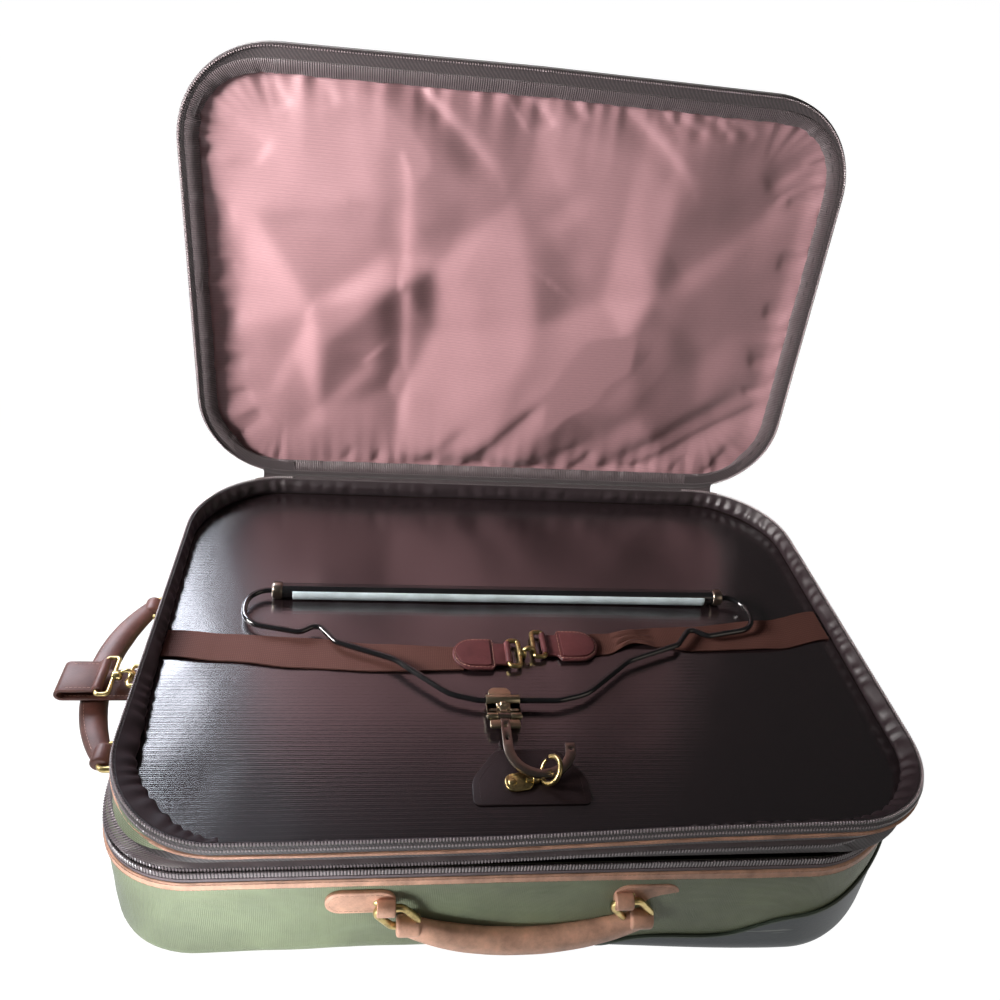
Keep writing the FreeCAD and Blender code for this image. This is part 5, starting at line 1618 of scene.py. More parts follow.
class BAG_OT_patch(bpy.types.Operator):
    """Leather patch with the brass snap that holds the hanger's hook"""

    bl_idname = "bag.patch"
    bl_label = "Patch"

    def execute(self, context):
        low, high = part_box("hanger_patch")
        middle = (low.x + high.x) / 2
        shoulder = low.y + 20 * MM
        corners = (
            (low.x, low.y), (high.x, low.y), (high.x, shoulder), (middle + 22 * MM, high.y),
            (middle - 22 * MM, high.y), (low.x, shoulder),
        )
        patch = plate("hanger_patch_leather", corners, 5 * MM, low.z, high.z - low.z, 0.4 * MM)
        dress(patch, "tray", "Brown patch leather", "brown_patch", "hanger_patch")
        centre = Vector((middle, (low.y + high.y) / 2))
        edge = []
        for x, y in corners:
            inward = centre + (Vector((x, y)) - centre) * 0.88
            edge.append(Vector((inward.x, inward.y, high.z + 0.1 * MM)))
        dress(sewn("hanger_patch_stitches", edge, True), "tray", "Dark thread", "brown_patch")

        ring = arc_of_ring("snap", -180, 70, 3.6 * MM)
        root = ring_point(180)
        neck_end = root - SNAP_AHEAD * 11 * MM
        neck = drawn("snap", [root, neck_end], [0, 0], 3.6 * MM)
        collar_points = [root - SNAP_AHEAD * 2 * MM, root - SNAP_AHEAD * 7 * MM]
        collar = drawn("snap", collar_points, [0, 0], 6.4 * MM, sides=16)
        ease(collar, 1.2 * MM, 3)
        base = plate("snap", stadium(20 * MM, 14 * MM), 6.5 * MM, 0, 2 * MM, 0.7 * MM)
        head = rivet("snap", 3 * MM, 1.2 * MM)
        carry(head, (-5 * MM, 0, 1.9 * MM))
        base = joined("snap", [base, head])
        base_at = neck_end - SNAP_AHEAD * 5 * MM
        base_at.z = high.z + 0.2 * MM
        base.data.transform(Matrix.Translation(base_at) @ Matrix.Rotation(SNAP_HEADING, 4, "Z"))
        snap = joined("patch_snap_brass", [ring, neck, collar, base])
        dress(snap, "tray", "Antique brass", "antique_brass", "patch_snap")
        gate = arc_of_ring("patch_gate_brass", 94, 148, 2.4 * MM)
        dress(gate, "patch_gate", "Antique brass", "antique_brass", "patch_snap_gate")
        return {"FINISHED"}


# Hanger

BAR_LOW, BAR_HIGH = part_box("trouser_bar")
BAR_Y = (BAR_LOW.y + BAR_HIGH.y) / 2
BAR_Z = (BAR_LOW.z + BAR_HIGH.z) / 2
HANGER_X = (BAR_LOW.x + BAR_HIGH.x) / 2
BAR_HALF = (BAR_HIGH.x - BAR_LOW.x) / 2
BAR_RADIUS = (BAR_HIGH.z - BAR_LOW.z) / 2
STRIP_TURN = radians(100)           # middle of the foam strip, from the top of the bar to its front
HANGER_POINTS = (
    (212, 0, 18), (212, -38, 19), (166, -48, 8), (153, -39, 7), (138, -58, 12), (92, -76, 30), (52, -110, 30),
    (30, -116, 20),
)                            # half of the wire from the bar outwards, mm: x, y, bend radius
CLAMP_X = -18 * MM
CLAMP_HALF = 12.5 * MM
LEAF = 0.9 * MM              # half the thickness of the clamp's leaf
CLAMP_Y = BAR_Y - 116 * MM
PIN_Y = CLAMP_Y - 15 * MM
SHANK_END = PIN_Y - 27 * MM
HOOK_BEND = 22 * MM
HOOK_HOLE = 1.3 * MM
KNUCKLE = 5.2 * MM           # across the rolled knuckles on the clamp's pin


class BAG_OT_hanger(bpy.types.Operator):
    """Vinyl-coated wire hanger with its trouser bar, clamp and flat swinging hook"""

    bl_idname = "bag.hanger"
    bl_label = "Hanger"

    def execute(self, context):
        run = [(BAR_HALF - 4 * MM, 0, 0)] + [(x * MM, y * MM, r * MM) for x, y, r in HANGER_POINTS]
        run += [(-x, y, r) for x, y, r in run[::-1]]
        points = [(HANGER_X + x, BAR_Y + y, BAR_Z) for x, y, r in run]
        wire = drawn("hanger_wire_vinyl", points, [r for x, y, r in run], 4.6 * MM, sides=14)
        dress(wire, "hanger", "Black vinyl coat", "black_vinyl", "hanger_wire")

        bar = pin("trouser_bar_vinyl", (HANGER_X, BAR_Y, BAR_Z), BAR_HALF, 2 * BAR_RADIUS, 32)
        dress(bar, "hanger", "Black vinyl coat", "black_vinyl", "trouser_bar")
        strip_low, strip_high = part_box("trouser_grip_strip")
        strip = begin(
            "trouser_grip_foam", bpy.ops.mesh.primitive_grid_add, x_subdivisions=120, y_subdivisions=10,
            size=1, location=((strip_low.x + strip_high.x) / 2, BAR_Y, 0),
        )
        settle(strip, (strip_high.x - strip_low.x, 9.4 * MM, 1))

        def wrap(co):
            radius = BAR_RADIUS + 0.1 * MM
            turn = STRIP_TURN - (co.y - BAR_Y) / radius
            return Vector((co.x, BAR_Y - radius * sin(turn), BAR_Z + radius * cos(turn)))

        shape(strip, wrap)
        thicken(strip, 1.1 * MM, 1)
        ease(strip, 0.3 * MM, 2)
        dress(strip, "hanger", "Foam strip", "foam_strip", "trouser_grip_strip")

        caps = []
        for side in (-1, 1):
            a = (HANGER_X + side * (BAR_HALF - 3 * MM), BAR_Y, BAR_Z)
            b = (HANGER_X + side * (BAR_HALF + 6 * MM), BAR_Y, BAR_Z)
            cap = drawn("ferrule", [a, b], [0, 0], 14 * MM, sides=24)
            ease(cap, 2.2 * MM, 4)
            caps.append(cap)
        dress(joined("bar_ferrules_nickel", caps), "hanger", "Nickel plate", "nickel", "bar_ferrules")

        roll = pin("clamp", (CLAMP_X, CLAMP_Y, BAR_Z), CLAMP_HALF, 8 * MM, 20)
        leaf_low = (CLAMP_X - CLAMP_HALF, PIN_Y + 2.9 * MM, BAR_Z - LEAF)
        leaf = block("clamp", leaf_low, (CLAMP_X + CLAMP_HALF, CLAMP_Y, BAR_Z + LEAF))
        slots = []
        for side in (-1, 1):
            x = CLAMP_X + side * 6.5 * MM
            y = PIN_Y + 4.4 * MM
            slot_high = (x + 4 * MM, y + 1.5 * MM, BAR_Z + 9 * MM)
            slots.append(block("slot", (x - 4 * MM, y, BAR_Z - 9 * MM), slot_high))
        cut(leaf, *slots)
        tongue = plate("clamp", stadium(17 * MM, 11 * MM), 5.2 * MM, -0.8 * MM, 1.6 * MM, 0.4 * MM)
        carry(tongue, (CLAMP_X - 2 * MM, CLAMP_Y + 4.5 * MM, BAR_Z + 1.5 * MM))
        knuckles = [roll, leaf, tongue]
        for side in (-1, 1):
            a = CLAMP_X + side * 4.8 * MM
            b = CLAMP_X + side * CLAMP_HALF
            ends = [(a, PIN_Y, BAR_Z), (b, PIN_Y, BAR_Z)]
            knuckles.append(drawn("clamp", ends, [0, 0], KNUCKLE, sides=16))
            ear_low = (min(a, b), PIN_Y, BAR_Z - LEAF)
            knuckles.append(block("clamp", ear_low, (max(a, b), CLAMP_Y, BAR_Z + LEAF)))
        fixings = [pin("clamp", (CLAMP_X, PIN_Y, BAR_Z), CLAMP_HALF + 0.8 * MM, 2.4 * MM)]
        for radius, height, rise in ((5.4, 1.0, 0.85), (2.6, 1.2, 1.6)):
            head = rivet("clamp", radius * MM, height * MM)
            carry(head, (CLAMP_X, CLAMP_Y - 4.4 * MM, BAR_Z + rise * MM))
            fixings.append(head)
        clamp = joined("hanger_clamp_plate", knuckles + fixings)
        ease(clamp, 0.3 * MM, 2, 50)
        dress(clamp, "hanger", "Brassed steel", "antique_brass", "hanger_clamp")

        hook_points = [
            (CLAMP_X, PIN_Y - 1.3 * MM, BAR_Z), (CLAMP_X, SHANK_END - HOOK_BEND, BAR_Z),
            (CLAMP_X + 2 * HOOK_BEND, SHANK_END - HOOK_BEND, BAR_Z),
            (CLAMP_X + 2 * HOOK_BEND, SHANK_END + 3 * MM, BAR_Z),
        ]
        hook = drawn("hook", hook_points, [0, HOOK_BEND, HOOK_BEND, 0], 7 * MM, 2.2 * MM)
        hole_cutters = []
        for y in (PIN_Y - 9 * MM, PIN_Y - 20 * MM):
            hole_cutters.append(rod("hole", 20, HOOK_HOLE, 8 * MM, (CLAMP_X, y, BAR_Z)))
        tip = (CLAMP_X + 2 * HOOK_BEND, SHANK_END - 2 * MM, BAR_Z)
        tip_hole = rod("hole", 20, HOOK_HOLE, 8 * MM, tip)
        cut(hook, tip_hole, *hole_cutters)
        ease(hook, 0.45 * MM, 2, 50)
        knuckle = pin("hook", (CLAMP_X, PIN_Y, BAR_Z), 4.5 * MM, KNUCKLE, 16)
        dress(joined("hanger_hook_plate", [hook, knuckle]), "hook", "Nickel plate", "nickel", "hanger_hook")
        leaf = plate("hanger_hook_leaf", stadium(22 * MM, 7 * MM), 1.6 * MM, -0.9 * MM, 1.8 * MM, 0.4 * MM)
        carry(leaf, (CLAMP_X, PIN_Y - 6.9 * MM, BAR_Z))
        dress(leaf, "hook", "Brassed steel", "nickel")
        return {"FINISHED"}


# Carry handles, modelled hanging from an axis along X at the origin with the wall behind at +Y

RING_X = 78 * MM
RING_WIDE = 22 * MM
RING_DROP = 20 * MM
PIVOT_OUT = 6.5 * MM
GRIP_SAG = 22 * MM
GRIP_HIGH = 23 * MM
GRIP_DEEP = 13 * MM
RING_SLANT = 7.5 * MM        # the side handle hangs aslant, its grip to the wheel end
HANDLE_TAB_LONG = 45 * MM
HANDLE_TAB_HIGH = 22 * MM
SIDE_PLACE = Matrix.Translation(joint_at["side_handle_swing"])
END_PLACE = Matrix.Translation(joint_at["end_handle_swing"]) @ Matrix.Rotation(-pi / 2, 4, "Z")
END_RAISED = END_PLACE @ Matrix.Rotation(-pi / 2, 4, "X")


def handle_line(t):
    """Middle of the grip and the way in to its bow, from -1 at one ring to 1 at the other."""
    bow = (RING_X ** 2 + GRIP_SAG ** 2) / (2 * GRIP_SAG)
    a = t * asin(RING_X / bow)
    middle = Vector((bow * sin(a), 0, -RING_DROP - GRIP_SAG + bow * (1 - cos(a))))
    return middle, Vector((-sin(a), 0, cos(a)))


def handle_grip():
    """A roll of leather, sewn along its lower edge, its ends folded round the rings."""
    steps = 48
    sides = 28
    grip = begin(
        "grip", bpy.ops.mesh.primitive_circle_add, vertices=sides, radius=1, fill_type="NGON",
        location=(-1, 0, 0), rotation=(0, pi / 2, 0),
    )
    settle(grip)
    edit(grip)
    for _ in range(steps):
        extrude((2 / steps, 0, 0))
    close_up()

    def curve(co):
        middle, inward = handle_line(co.x)
        size = 1 - 0.3 * abs(co.x) ** 3
        around = atan2(co.y, co.z)
        seam = exp(-((abs(around) - 2.3) / 0.2) ** 2) * 0.12
        flat = 1 - 0.08 * cos(2 * around)
        high = co.z * GRIP_HIGH / 2 * size * (flat + seam)
        deep = co.y * GRIP_DEEP / 2 * size * (flat + seam)
        wrinkle = noise.noise(Vector((co.x * 9, co.y * 2, co.z * 2))) * 0.25 * MM
        return middle + inward * (high + wrinkle) + Vector((0, deep, 0))

    shape(grip, curve)
    eyes = []
    for side in (-1, 1):
        eye = pin("eye", (side * RING_X, 0, -RING_DROP), 8 * MM, 14 * MM, 24)
        ease(eye, 2.4 * MM, 4)
        eyes.append(eye)
    return joined("grip", [grip] + eyes)


def grip_stitches():
    points = []
    for i in range(41):
        t = -0.9 + 1.8 * i / 40
        middle, inward = handle_line(t)
        size = 1 - 0.3 * abs(t) ** 3
        points.append(middle - inward * (GRIP_HIGH * 0.28 * size) + Vector((0, -GRIP_DEEP * 0.46 * size, 0)))
    return sewn("grip_stitches", points)


def handle_tab(side):
    """Leather tab of a ring with its rivet, and the stitches round it."""
    wide = HANDLE_TAB_HIGH
    tab = plate("tab", stadium(HANDLE_TAB_LONG, wide), 10 * MM, 0, 3 * MM, 0.9 * MM)
    points = []
    for i in range(60):
        a = 2 * pi * i / 60
        reach = wide / 2 - 2.6 * MM
        x = copysign(HANDLE_TAB_LONG / 2 - wide / 2, cos(a)) + reach * cos(a)
        points.append((x, reach * sin(a), 3.05 * MM))
    thread = sewn("tab_stitches", points, True)
    head = rivet("rivet", 4 * MM, 1.8 * MM)
    carry(head, (-side * 12 * MM, 0, 2.9 * MM))
    to_wall = Matrix.Translation((side * (RING_X - 6 * MM + HANDLE_TAB_LONG / 2), PIVOT_OUT, 0))
    to_wall = to_wall @ Matrix.Rotation(pi / 2, 4, "X")
    for piece in (tab, thread, head):
        piece.data.transform(to_wall)
    eye = pin("eye", (side * RING_X, 0, 0), 6 * MM, 11 * MM, 20)
    ease(eye, 1.0 * MM, 3)
    return joined("tab", [tab, eye]), thread, head


def handle_rings(slant):
    rings = []
    h = RING_WIDE / 2
    for side in (-1, 1):
        x = side * RING_X
        corners = [(x - h - slant, 0, 0), (x + h - slant, 0, 0)]
        corners += [(x + h + slant, 0, -RING_DROP), (x - h + slant, 0, -RING_DROP)]
        rings.append(drawn("ring", corners, [5 * MM] * 4, 4.8 * MM, normal=(0, 1, 0), closed=True, sides=14))
    return joined("rings", rings)


class BAG_OT_handles(bpy.types.Operator):
    """Carry handles at the side and the end: leather grips on brass rings in riveted tabs"""

    bl_idname = "bag.handles"
    bl_label = "Carry handles"

    def execute(self, context):
        tabs, threads, heads = [], [], []
        for place, slant in ((SIDE_PLACE, RING_SLANT), (END_PLACE, 0)):
            for side in (-1, 1):
                for piece, group in zip(handle_tab(side), (tabs, threads, heads)):
                    piece.data.transform(place @ Matrix.Translation((-slant, 0, 0)))
                    group.append(piece)
        dress(joined("handle_tab_leather", tabs), "case", "Tan leather", "tan_leather", "handle_tabs")
        dress(joined("handle_tab_stitches", threads), "case", "Waxed thread", "tan_leather")
        dress(joined("handle_tab_rivets", heads), "case", "Antique brass", "antique_brass")
        for name, place, slant in (("side_handle", SIDE_PLACE, RING_SLANT), ("end_handle", END_RAISED, 0)):
            rings = handle_rings(slant)
            grip = handle_grip()
            thread = grip_stitches()
            rings.data.transform(place)
            for piece in (grip, thread):
                piece.data.transform(place @ Matrix.Translation((slant, 0, 0)))
            rings.name = name + "_ring_brass"
            grip.name = name + "_grip_leather"
            thread.name = name + "_grip_stitches"
            dress(rings, name, "Antique brass", "antique_brass", name + "_rings")
            # The end handle's grip takes the darkened tan leather: painted shade.
            leather = "Tan leather" if name == "side_handle" else "Dark brown leather"
            dress(grip, name, leather, "tan_leather", name + "_grip", smooth=60)
            dress(thread, name, "Waxed thread", "tan_leather")
        return {"FINISHED"}


# Luggage strap at the handle end

STRAP_Y = -20 * MM
STRAP_Z = 77 * MM
STRAP_BEND = 4.5 * MM
STRAP_OUT = -HALF_LENGTH - 66 * MM
EYE_X = STRAP_OUT + 26 * MM
EYE_Z = 87 * MM
SNAP_WIRE = 1.7 * MM
SNAP_HOOK = mm(-301.1, -20, 87)
SNAP_HOOK_RADIUS = 5.6 * MM


def hook_point(angle, radius):
    """A point of the luggage snap's hook, in degrees from its far side upwards."""
    a = radians(angle)
    return SNAP_HOOK + Vector((radius * cos(a), 0, radius * sin(a)))


def upright_arc(name, start, end, wire):
    """Drawn wire round part of the luggage snap's hook."""
    return drawn_arc(name, hook_point, SNAP_HOOK_RADIUS, start, end, wire, (0, 1, 0))


class BAG_OT_luggage_strap(bpy.types.Operator):
    """Leather luggage strap with its brass snap, clipped to a dee at the handle end"""

    bl_idname = "bag.luggage_strap"
    bl_label = "Luggage strap"

    def execute(self, context):
        upper_z = STRAP_Z + 2 * STRAP_BEND
        points = [
            (-HALF_LENGTH, STRAP_Y, STRAP_Z), (STRAP_OUT - STRAP_BEND, STRAP_Y, STRAP_Z),
            (STRAP_OUT - STRAP_BEND, STRAP_Y, upper_z), (EYE_X, STRAP_Y, upper_z),
        ]
        strap = drawn("strap", points, [0, STRAP_BEND, STRAP_BEND, 0], 2.4 * MM, 30 * MM, normal=(0, 1, 0))
        ease(strap, 0.7 * MM, 2, 50)
        eye_points = [(EYE_X, STRAP_Y - 15 * MM, EYE_Z), (EYE_X, STRAP_Y + 15 * MM, EYE_Z)]
        eye = drawn("strap", eye_points, [0, 0], 7.8 * MM, sides=16)
        ease(eye, 0.8 * MM, 2)
        leather = joined("luggage_strap_leather", [strap, eye])
        # The luggage strap takes the darkened tan leather: painted shade.
        dress(leather, "case", "Dark brown leather", "tan_leather", "luggage_strap")
        threads = []
        for side in (-1, 1):
            y = STRAP_Y + side * 12 * MM
            for z, start in ((STRAP_Z, -HALF_LENGTH - 2 * MM), (upper_z, EYE_X - 5 * MM)):
                run = [(start, y, z + 1.25 * MM), (STRAP_OUT + 2 * MM, y, z + 1.25 * MM)]
                threads.append(sewn("strap_thread", run))
        dress(joined("luggage_strap_stitches", threads), "case", "Waxed thread", "tan_leather")

        loop_end = EYE_X + 9 * MM
        half = 15 * MM + 2 * SNAP_WIRE
        loop = loop_of_wire("snap", EYE_X, loop_end, STRAP_Y, half, EYE_Z, 2.6 * MM, SNAP_WIRE)
        ends = [(loop_end - 1.5 * MM, STRAP_Y, EYE_Z), (loop_end + 6 * MM, STRAP_Y, EYE_Z)]
        barrel = drawn("snap", ends, [0, 0], 7.2 * MM, sides=18)
        ease(barrel, 1.4 * MM, 3)
        hook = upright_arc("snap", 180, -60, 2 * SNAP_WIRE)
        snap = joined("luggage_snap_brass", [loop, barrel, hook])
        dress(snap, "case", "Antique brass", "antique_brass", "luggage_snap")
        gate = upright_arc("luggage_gate_brass", -114, -68, 2.6 * MM)
        dress(gate, "luggage_gate", "Antique brass", "antique_brass", "luggage_snap_gate")

        inner = -HALF_LENGTH - SNAP_WIRE - 0.3 * MM
        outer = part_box("strap_dee")[0].x + SNAP_WIRE
        dee = loop_of_wire("strap_dee_brass", outer, inner, STRAP_Y, 10 * MM, EYE_Z, 2.6 * MM, SNAP_WIRE)
        dress(dee, "case", "Antique brass", "antique_brass", "strap_dee")
        chape_points = [(inner, STRAP_Y - 5 * MM, EYE_Z), (inner, STRAP_Y + 5 * MM, EYE_Z)]
        chape = drawn("strap_dee_chape", chape_points, [0, 0], 6.4 * MM, sides=16)
        ease(chape, 0.6 * MM, 2)
        # The chape takes the darkened tan leather too: painted shade.
        dress(chape, "case", "Dark brown leather", "tan_leather")
        return {"FINISHED"}


# Wheels and trolley

WHEEL_RADIUS = 25 * MM
WHEEL_WIDE = 22 * MM
HUB_RADIUS = 17 * MM
AXLE_HOLE = 3.05 * MM


class BAG_OT_wheels(bpy.types.Operator):
    """Wheels with crowned tyres on spoked hubs, in their moulded housings"""

    bl_idname = "bag.wheels"
    bl_label = "Wheels"

    def execute(self, context):
        upright = (pi / 2, 0, 0)
        for name in ("front", "rear"):
            centre = joint_at["wheel_" + name + "_spin"]
            tyre = rod("wheel_tyre_rubber_" + name, 64, WHEEL_RADIUS, WHEEL_WIDE, centre, upright)
            settle(tyre)
            ease(tyre, 4 * MM, 5, 60)
            cut(tyre, rod("bore", 64, HUB_RADIUS, 2 * WHEEL_WIDE, centre, upright))
            dress(tyre, "wheel_" + name, "Polyurethane tyre", "tyre_rubber", "wheel_tyre_" + name)

            hub = rod("wheel_hub_nylon_" + name, 64, HUB_RADIUS, WHEEL_WIDE - 4 * MM, centre, upright)
            settle(hub)
            edit(hub)
            pick(hub, "FACE", lambda face: abs(face.normal.y) > 0.9)
            bpy.ops.mesh.inset(thickness=2.2 * MM)
            mesh = bmesh.from_edit_mesh(hub.data)
            for face in mesh.faces:
                if face.select:
                    inward = -face.normal.y * 3 * MM
                    for vertex in face.verts:
                        vertex.co.y += inward
            bmesh.update_edit_mesh(hub.data)
            bpy.ops.mesh.inset(thickness=8 * MM)
            for face in bmesh.from_edit_mesh(hub.data).faces:
                if face.select:
                    for vertex in face.verts:
                        vertex.co.y += face.normal.y * 5 * MM
            leave()
            windows = []
            for i in range(5):
                a = 2 * pi * i / 5
                spot = centre + Vector((cos(a), 0, sin(a))) * 10.6 * MM
                windows.append(rod("window", 20, 2.6 * MM, 2 * WHEEL_WIDE, spot, upright))
            axle_hole = rod("window", 24, AXLE_HOLE, 2 * WHEEL_WIDE, centre, upright)
            cut(hub, axle_hole, *windows)
            ease(hub, 0.4 * MM, 2, 50)
            dress(hub, "wheel_" + name, "Moulded grey nylon", "grey_hub", "wheel_hub_" + name)
        repaint("Moulded black ABS", "wheel_housings", "standing_feet")
        repaint("Zinc-plated steel", "wheel_axles")
        return {"FINISHED"}


class BAG_OT_trolley(bpy.types.Operator):
    """Finishes of the trolley: tubes, sleeves, bezel, grip and release"""

    bl_idname = "bag.trolley"
    bl_label = "Trolley"

    def execute(self, context):
        repaint("Moulded black ABS", "trolley_bezel", "trolley_grip")
        repaint("Moulded grey nylon", "release_button")
        repaint("Anodised aluminium", "trolley_tubes")
        repaint("Zinc-plated steel", "trolley_sleeves", "release_rods")
        return {"FINISHED"}


# Zip sliders, modelled on a wall at y = 0 with the zip along X at z = 0

SLIDER_PLACES = {}
for slider_side, slider_name in ((-1, "left"), (1, "right")):
    SLIDER_PLACES["lid_pull_" + slider_name] = (
        Matrix.Translation(joint_at["lid_pull_" + slider_name + "_swing"])
        @ Matrix.Rotation(pi - slider_side * radians(18), 4, "Z")
    )
for slider_name in ("front", "rear"):
    SLIDER_PLACES["main_pull_" + slider_name] = (
        Matrix.Translation(joint_at["main_pull_" + slider_name + "_swing"])
        @ Matrix.Rotation(pi / 2, 4, "Z")
    )
PIN_OUT = 4.6 * MM           # pull pin in front of the wall


def zip_slider():
    """Shield-shaped slider body with the bridge that holds its pull; the pin is at the origin."""
    body = block("slider", mm(-5, -2.4, -3.5), mm(5, 0, 3.5))
    edit(body)
    pick(body, "VERT", lambda vertex: vertex.co.x > 0)
    bpy.ops.transform.resize(value=(1, 1, 0.62), center_override=(0, 0, 0))
    leave()
    ease(body, 0.9 * MM, 3)
    arch = [mm(-4.2, -1.8, 0), mm(-4.2, -5.4, 0), mm(4.2, -5.4, 0), mm(4.2, -1.8, 0)]
    bridge = drawn("slider", arch, [0, 1.6 * MM, 1.6 * MM, 0], 1.6 * MM, normal=(0, 0, 1), sides=10)
    whole = joined("slider", [body, bridge])
    carry(whole, (0, PIN_OUT, 0))
    return whole


def zip_pull():
    """Flat pull with a pierced end, hanging from the pin at the origin."""
    tab = plate("pull", stadium(16 * MM, 6 * MM), 2.4 * MM, -0.7 * MM, 1.4 * MM, 0.35 * MM)
    hole = rod("hole", 20, 1.5 * MM, 8 * MM, mm(-6.4, 0, 0))
    cut(tab, hole, block("slot", mm(-1, -1.2, -4), mm(5.2, 1.2, 4)))
    turn = Matrix.Rotation(pi / 2, 4, "Y") @ Matrix.Translation(mm(7, 0, 0))
    tab.data.transform(Matrix.Rotation(pi / 2, 4, "Z") @ turn)
    return tab


class BAG_OT_sliders(bpy.types.Operator):
    """Zip sliders and their pulls"""

    bl_idname = "bag.sliders"
    bl_label = "Zip sliders"

    def execute(self, context):
        lid_bodies = []
        for name, place in SLIDER_PLACES.items():
            slider = zip_slider()
            pull = zip_pull()
            slider.data.transform(place)
            pull.data.transform(place)
            pull.name = name + "_nickel"
            dress(pull, name, "Nickel plate", "nickel", name)
            if name.startswith("lid"):
                lid_bodies.append(slider)
            else:
                node = name.replace("pull", "slider")
                slider.name = node + "_nickel"
                dress(slider, node, "Nickel plate", "nickel", node)
        dress(joined("lid_sliders_nickel", lid_bodies), "tray", "Nickel plate", "nickel", "lid_sliders")
        return {"FINISHED"}


# Stage

CAMERA_EYE = mm(-116.8, -516.4, 618.6)
CAMERA_YAW = 0.1489
CAMERA_PITCH = 0.5396
CAMERA_ROLL = 0.117
FOCAL_PIXELS = 868.86        # on an image of 1000 by 1000 pixels
PRINCIPAL_X = 489.44
PRINCIPAL_Y = 434.19
IMAGE = 1000.0
SENSOR = 36.0


def light(name, place, target, size, power, hex_colour, spread=180, wide=None):
    lamp = bpy.data.lights.new(name, "AREA")
    lamp.spread = radians(spread)
    lamp.shape = "ELLIPSE"
    lamp.size = wide or size
    lamp.size_y = size
    lamp.energy = power
    lamp.color = linear(hex_colour)
    holder = bpy.data.objects.new(name, lamp)
    holder.location = place
    holder.rotation_euler = (Vector(target) - Vector(place)).to_track_quat("-Z", "Y").to_euler()
    bpy.context.collection.objects.link(holder)


def pale_floor(name):
    # Seamless paper: white to the camera and in reflections, and matt where the shadow falls.
    made, tree, shader = surface(name, Roughness=0.95, Specular_IOR_Level=0.1)
    rays = add(tree, "LightPath")
    seen = add(
        tree, "Math", {0: rays.outputs["Is Camera Ray"], 1: rays.outputs["Is Glossy Ray"]},
        operation="MAXIMUM",
    )
    seen = add(
        tree, "Math", {0: seen.outputs[0], 1: rays.outputs["Is Transmission Ray"]}, operation="MAXIMUM",
    )
    paper = add(tree, "MixRGB", {
        "Fac": seen.outputs[0], "Color1": (*linear("#A0A09E"), 1), "Color2": (*linear("#F2F2F0"), 1),
    })
    tree.links.new(paper.outputs[0], shader.inputs["Base Color"])
    part = add(tree, "Math", {0: seen.outputs[0], 1: 0.8}, operation="MULTIPLY")
    glow = add(tree, "Emission", {"Color": (1, 1, 1, 1), "Strength": 1.25})
    mixed = add(tree, "MixShader", {0: part.outputs[0], 1: shader.outputs[0], 2: glow.outputs[0]})
    tree.links.new(mixed.outputs[0], tree.nodes["Material Output"].inputs["Surface"])
    return made


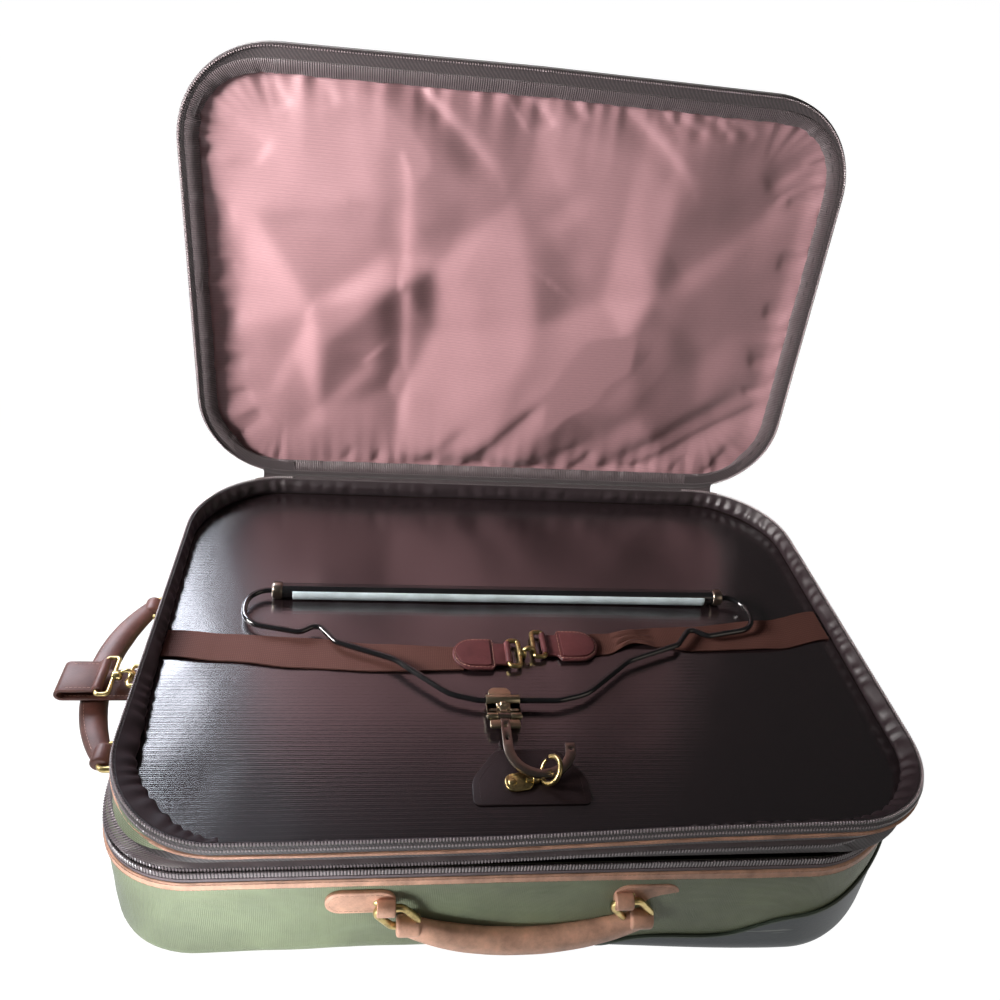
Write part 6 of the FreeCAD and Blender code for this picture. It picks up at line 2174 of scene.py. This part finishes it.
class BAG_OT_stage(bpy.types.Operator):
    """Pale floor, soft studio lights and the camera at the photograph's angle"""

    bl_idname = "bag.stage"
    bl_label = "Stage"

    def execute(self, context):
        scene = context.scene
        floor = begin("floor", bpy.ops.mesh.primitive_plane_add, size=30, location=(0, 0, 0))
        floor.data.materials.append(pale_floor("Seamless paper"))
        world = bpy.data.worlds.new("Studio")
        world.use_nodes = True
        tree = world.node_tree
        back = tree.nodes["Background"]
        rays = add(tree, "LightPath")
        seen = add(
            tree, "Math", {0: rays.outputs["Is Camera Ray"], 1: rays.outputs["Is Transmission Ray"]},
            operation="MAXIMUM",
        )
        level = add(tree, "MapRange", {"Value": seen.outputs[0], "To Min": 0.04, "To Max": 1.0})
        tree.links.new(level.outputs[0], back.inputs["Strength"])
        back.inputs["Color"].default_value = (1, 1, 1, 1)
        scene.world = world
        light("side", (-0.85, -0.12, 0.55), (0.05, 0.2, 0.32), 0.35, 4.5, "#FFFAF8", 60)
        light("bounce", (-0.25, -0.34, 0.004), (-0.25, -0.2, 0.06), 0.1, 1.3, "#F8FCFF", wide=0.24)
        light("window", (-0.65, 0.55, 0.6), (-0.25, 0.09, 0.11), 0.5, 1.7, "#EEF2FF", 50)
        light("room", (1.4, -1.2, 1.0), (0, 0, 0.1), 1.4, 4.2, "#FFF2E2")

        camera = bpy.data.cameras.new("Camera")
        camera.sensor_width = SENSOR
        camera.lens = FOCAL_PIXELS / IMAGE * SENSOR
        camera.shift_x = (IMAGE / 2 - PRINCIPAL_X) / IMAGE
        camera.shift_y = (PRINCIPAL_Y - IMAGE / 2) / IMAGE
        camera.clip_start = 0.01
        ahead = Vector((
            sin(CAMERA_YAW) * cos(CAMERA_PITCH), cos(CAMERA_YAW) * cos(CAMERA_PITCH),
            -sin(CAMERA_PITCH),
        ))
        right = Vector((cos(CAMERA_YAW), -sin(CAMERA_YAW), 0))
        up = right.cross(ahead)
        across = right * cos(CAMERA_ROLL) + up * sin(CAMERA_ROLL)
        above = up * cos(CAMERA_ROLL) - right * sin(CAMERA_ROLL)
        holder = bpy.data.objects.new("Camera", camera)
        turn = Matrix((across, above, -ahead)).transposed().to_4x4()
        holder.matrix_world = Matrix.Translation(CAMERA_EYE) @ turn
        context.collection.objects.link(holder)
        scene.camera = holder
        scene.view_settings.view_transform = "Standard"
        return {"FINISHED"}


PIECES = (
    BAG_OT_case, BAG_OT_guard, BAG_OT_welts, BAG_OT_zips, BAG_OT_hinges, BAG_OT_tray, BAG_OT_divider,
    BAG_OT_lid, BAG_OT_straps, BAG_OT_patch, BAG_OT_hanger, BAG_OT_handles, BAG_OT_luggage_strap,
    BAG_OT_wheels, BAG_OT_trolley, BAG_OT_sliders, BAG_OT_stage,
)


class BAG_PT_panel(bpy.types.Panel):
    """Sizes, colours and pieces of the garment bag"""

    bl_idname = "BAG_PT_panel"
    bl_label = "Garment Bag"
    bl_space_type = "VIEW_3D"
    bl_region_type = "UI"
    bl_category = "Garment Bag"

    def draw(self, context):
        for group in (context.scene.bag_sizes, context.scene.bag_colours):
            for key in group.__annotations__:
                self.layout.prop(group, key)
        for piece in PIECES:
            self.layout.operator(piece.bl_idname)


CLASSES = (BagSizes, BagColours, *PIECES, BAG_PT_panel)


def register():
    for each in CLASSES:
        bpy.utils.register_class(each)
    bpy.types.Scene.bag_sizes = bpy.props.PointerProperty(type=BagSizes)
    bpy.types.Scene.bag_colours = bpy.props.PointerProperty(type=BagColours)


def unregister():
    del bpy.types.Scene.bag_colours
    del bpy.types.Scene.bag_sizes
    for each in reversed(CLASSES):
        bpy.utils.unregister_class(each)


def main():
    register()
    bpy.ops.bag.case()
    bpy.ops.bag.guard()
    bpy.ops.bag.welts()
    bpy.ops.bag.zips()
    bpy.ops.bag.hinges()
    bpy.ops.bag.tray()
    bpy.ops.bag.divider()
    bpy.ops.bag.lid()
    bpy.ops.bag.straps()
    bpy.ops.bag.patch()
    bpy.ops.bag.hanger()
    bpy.ops.bag.handles()
    bpy.ops.bag.luggage_strap()
    bpy.ops.bag.wheels()
    bpy.ops.bag.trolley()
    bpy.ops.bag.sliders()
    bpy.ops.bag.stage()


if __name__ == "__main__":
    main()
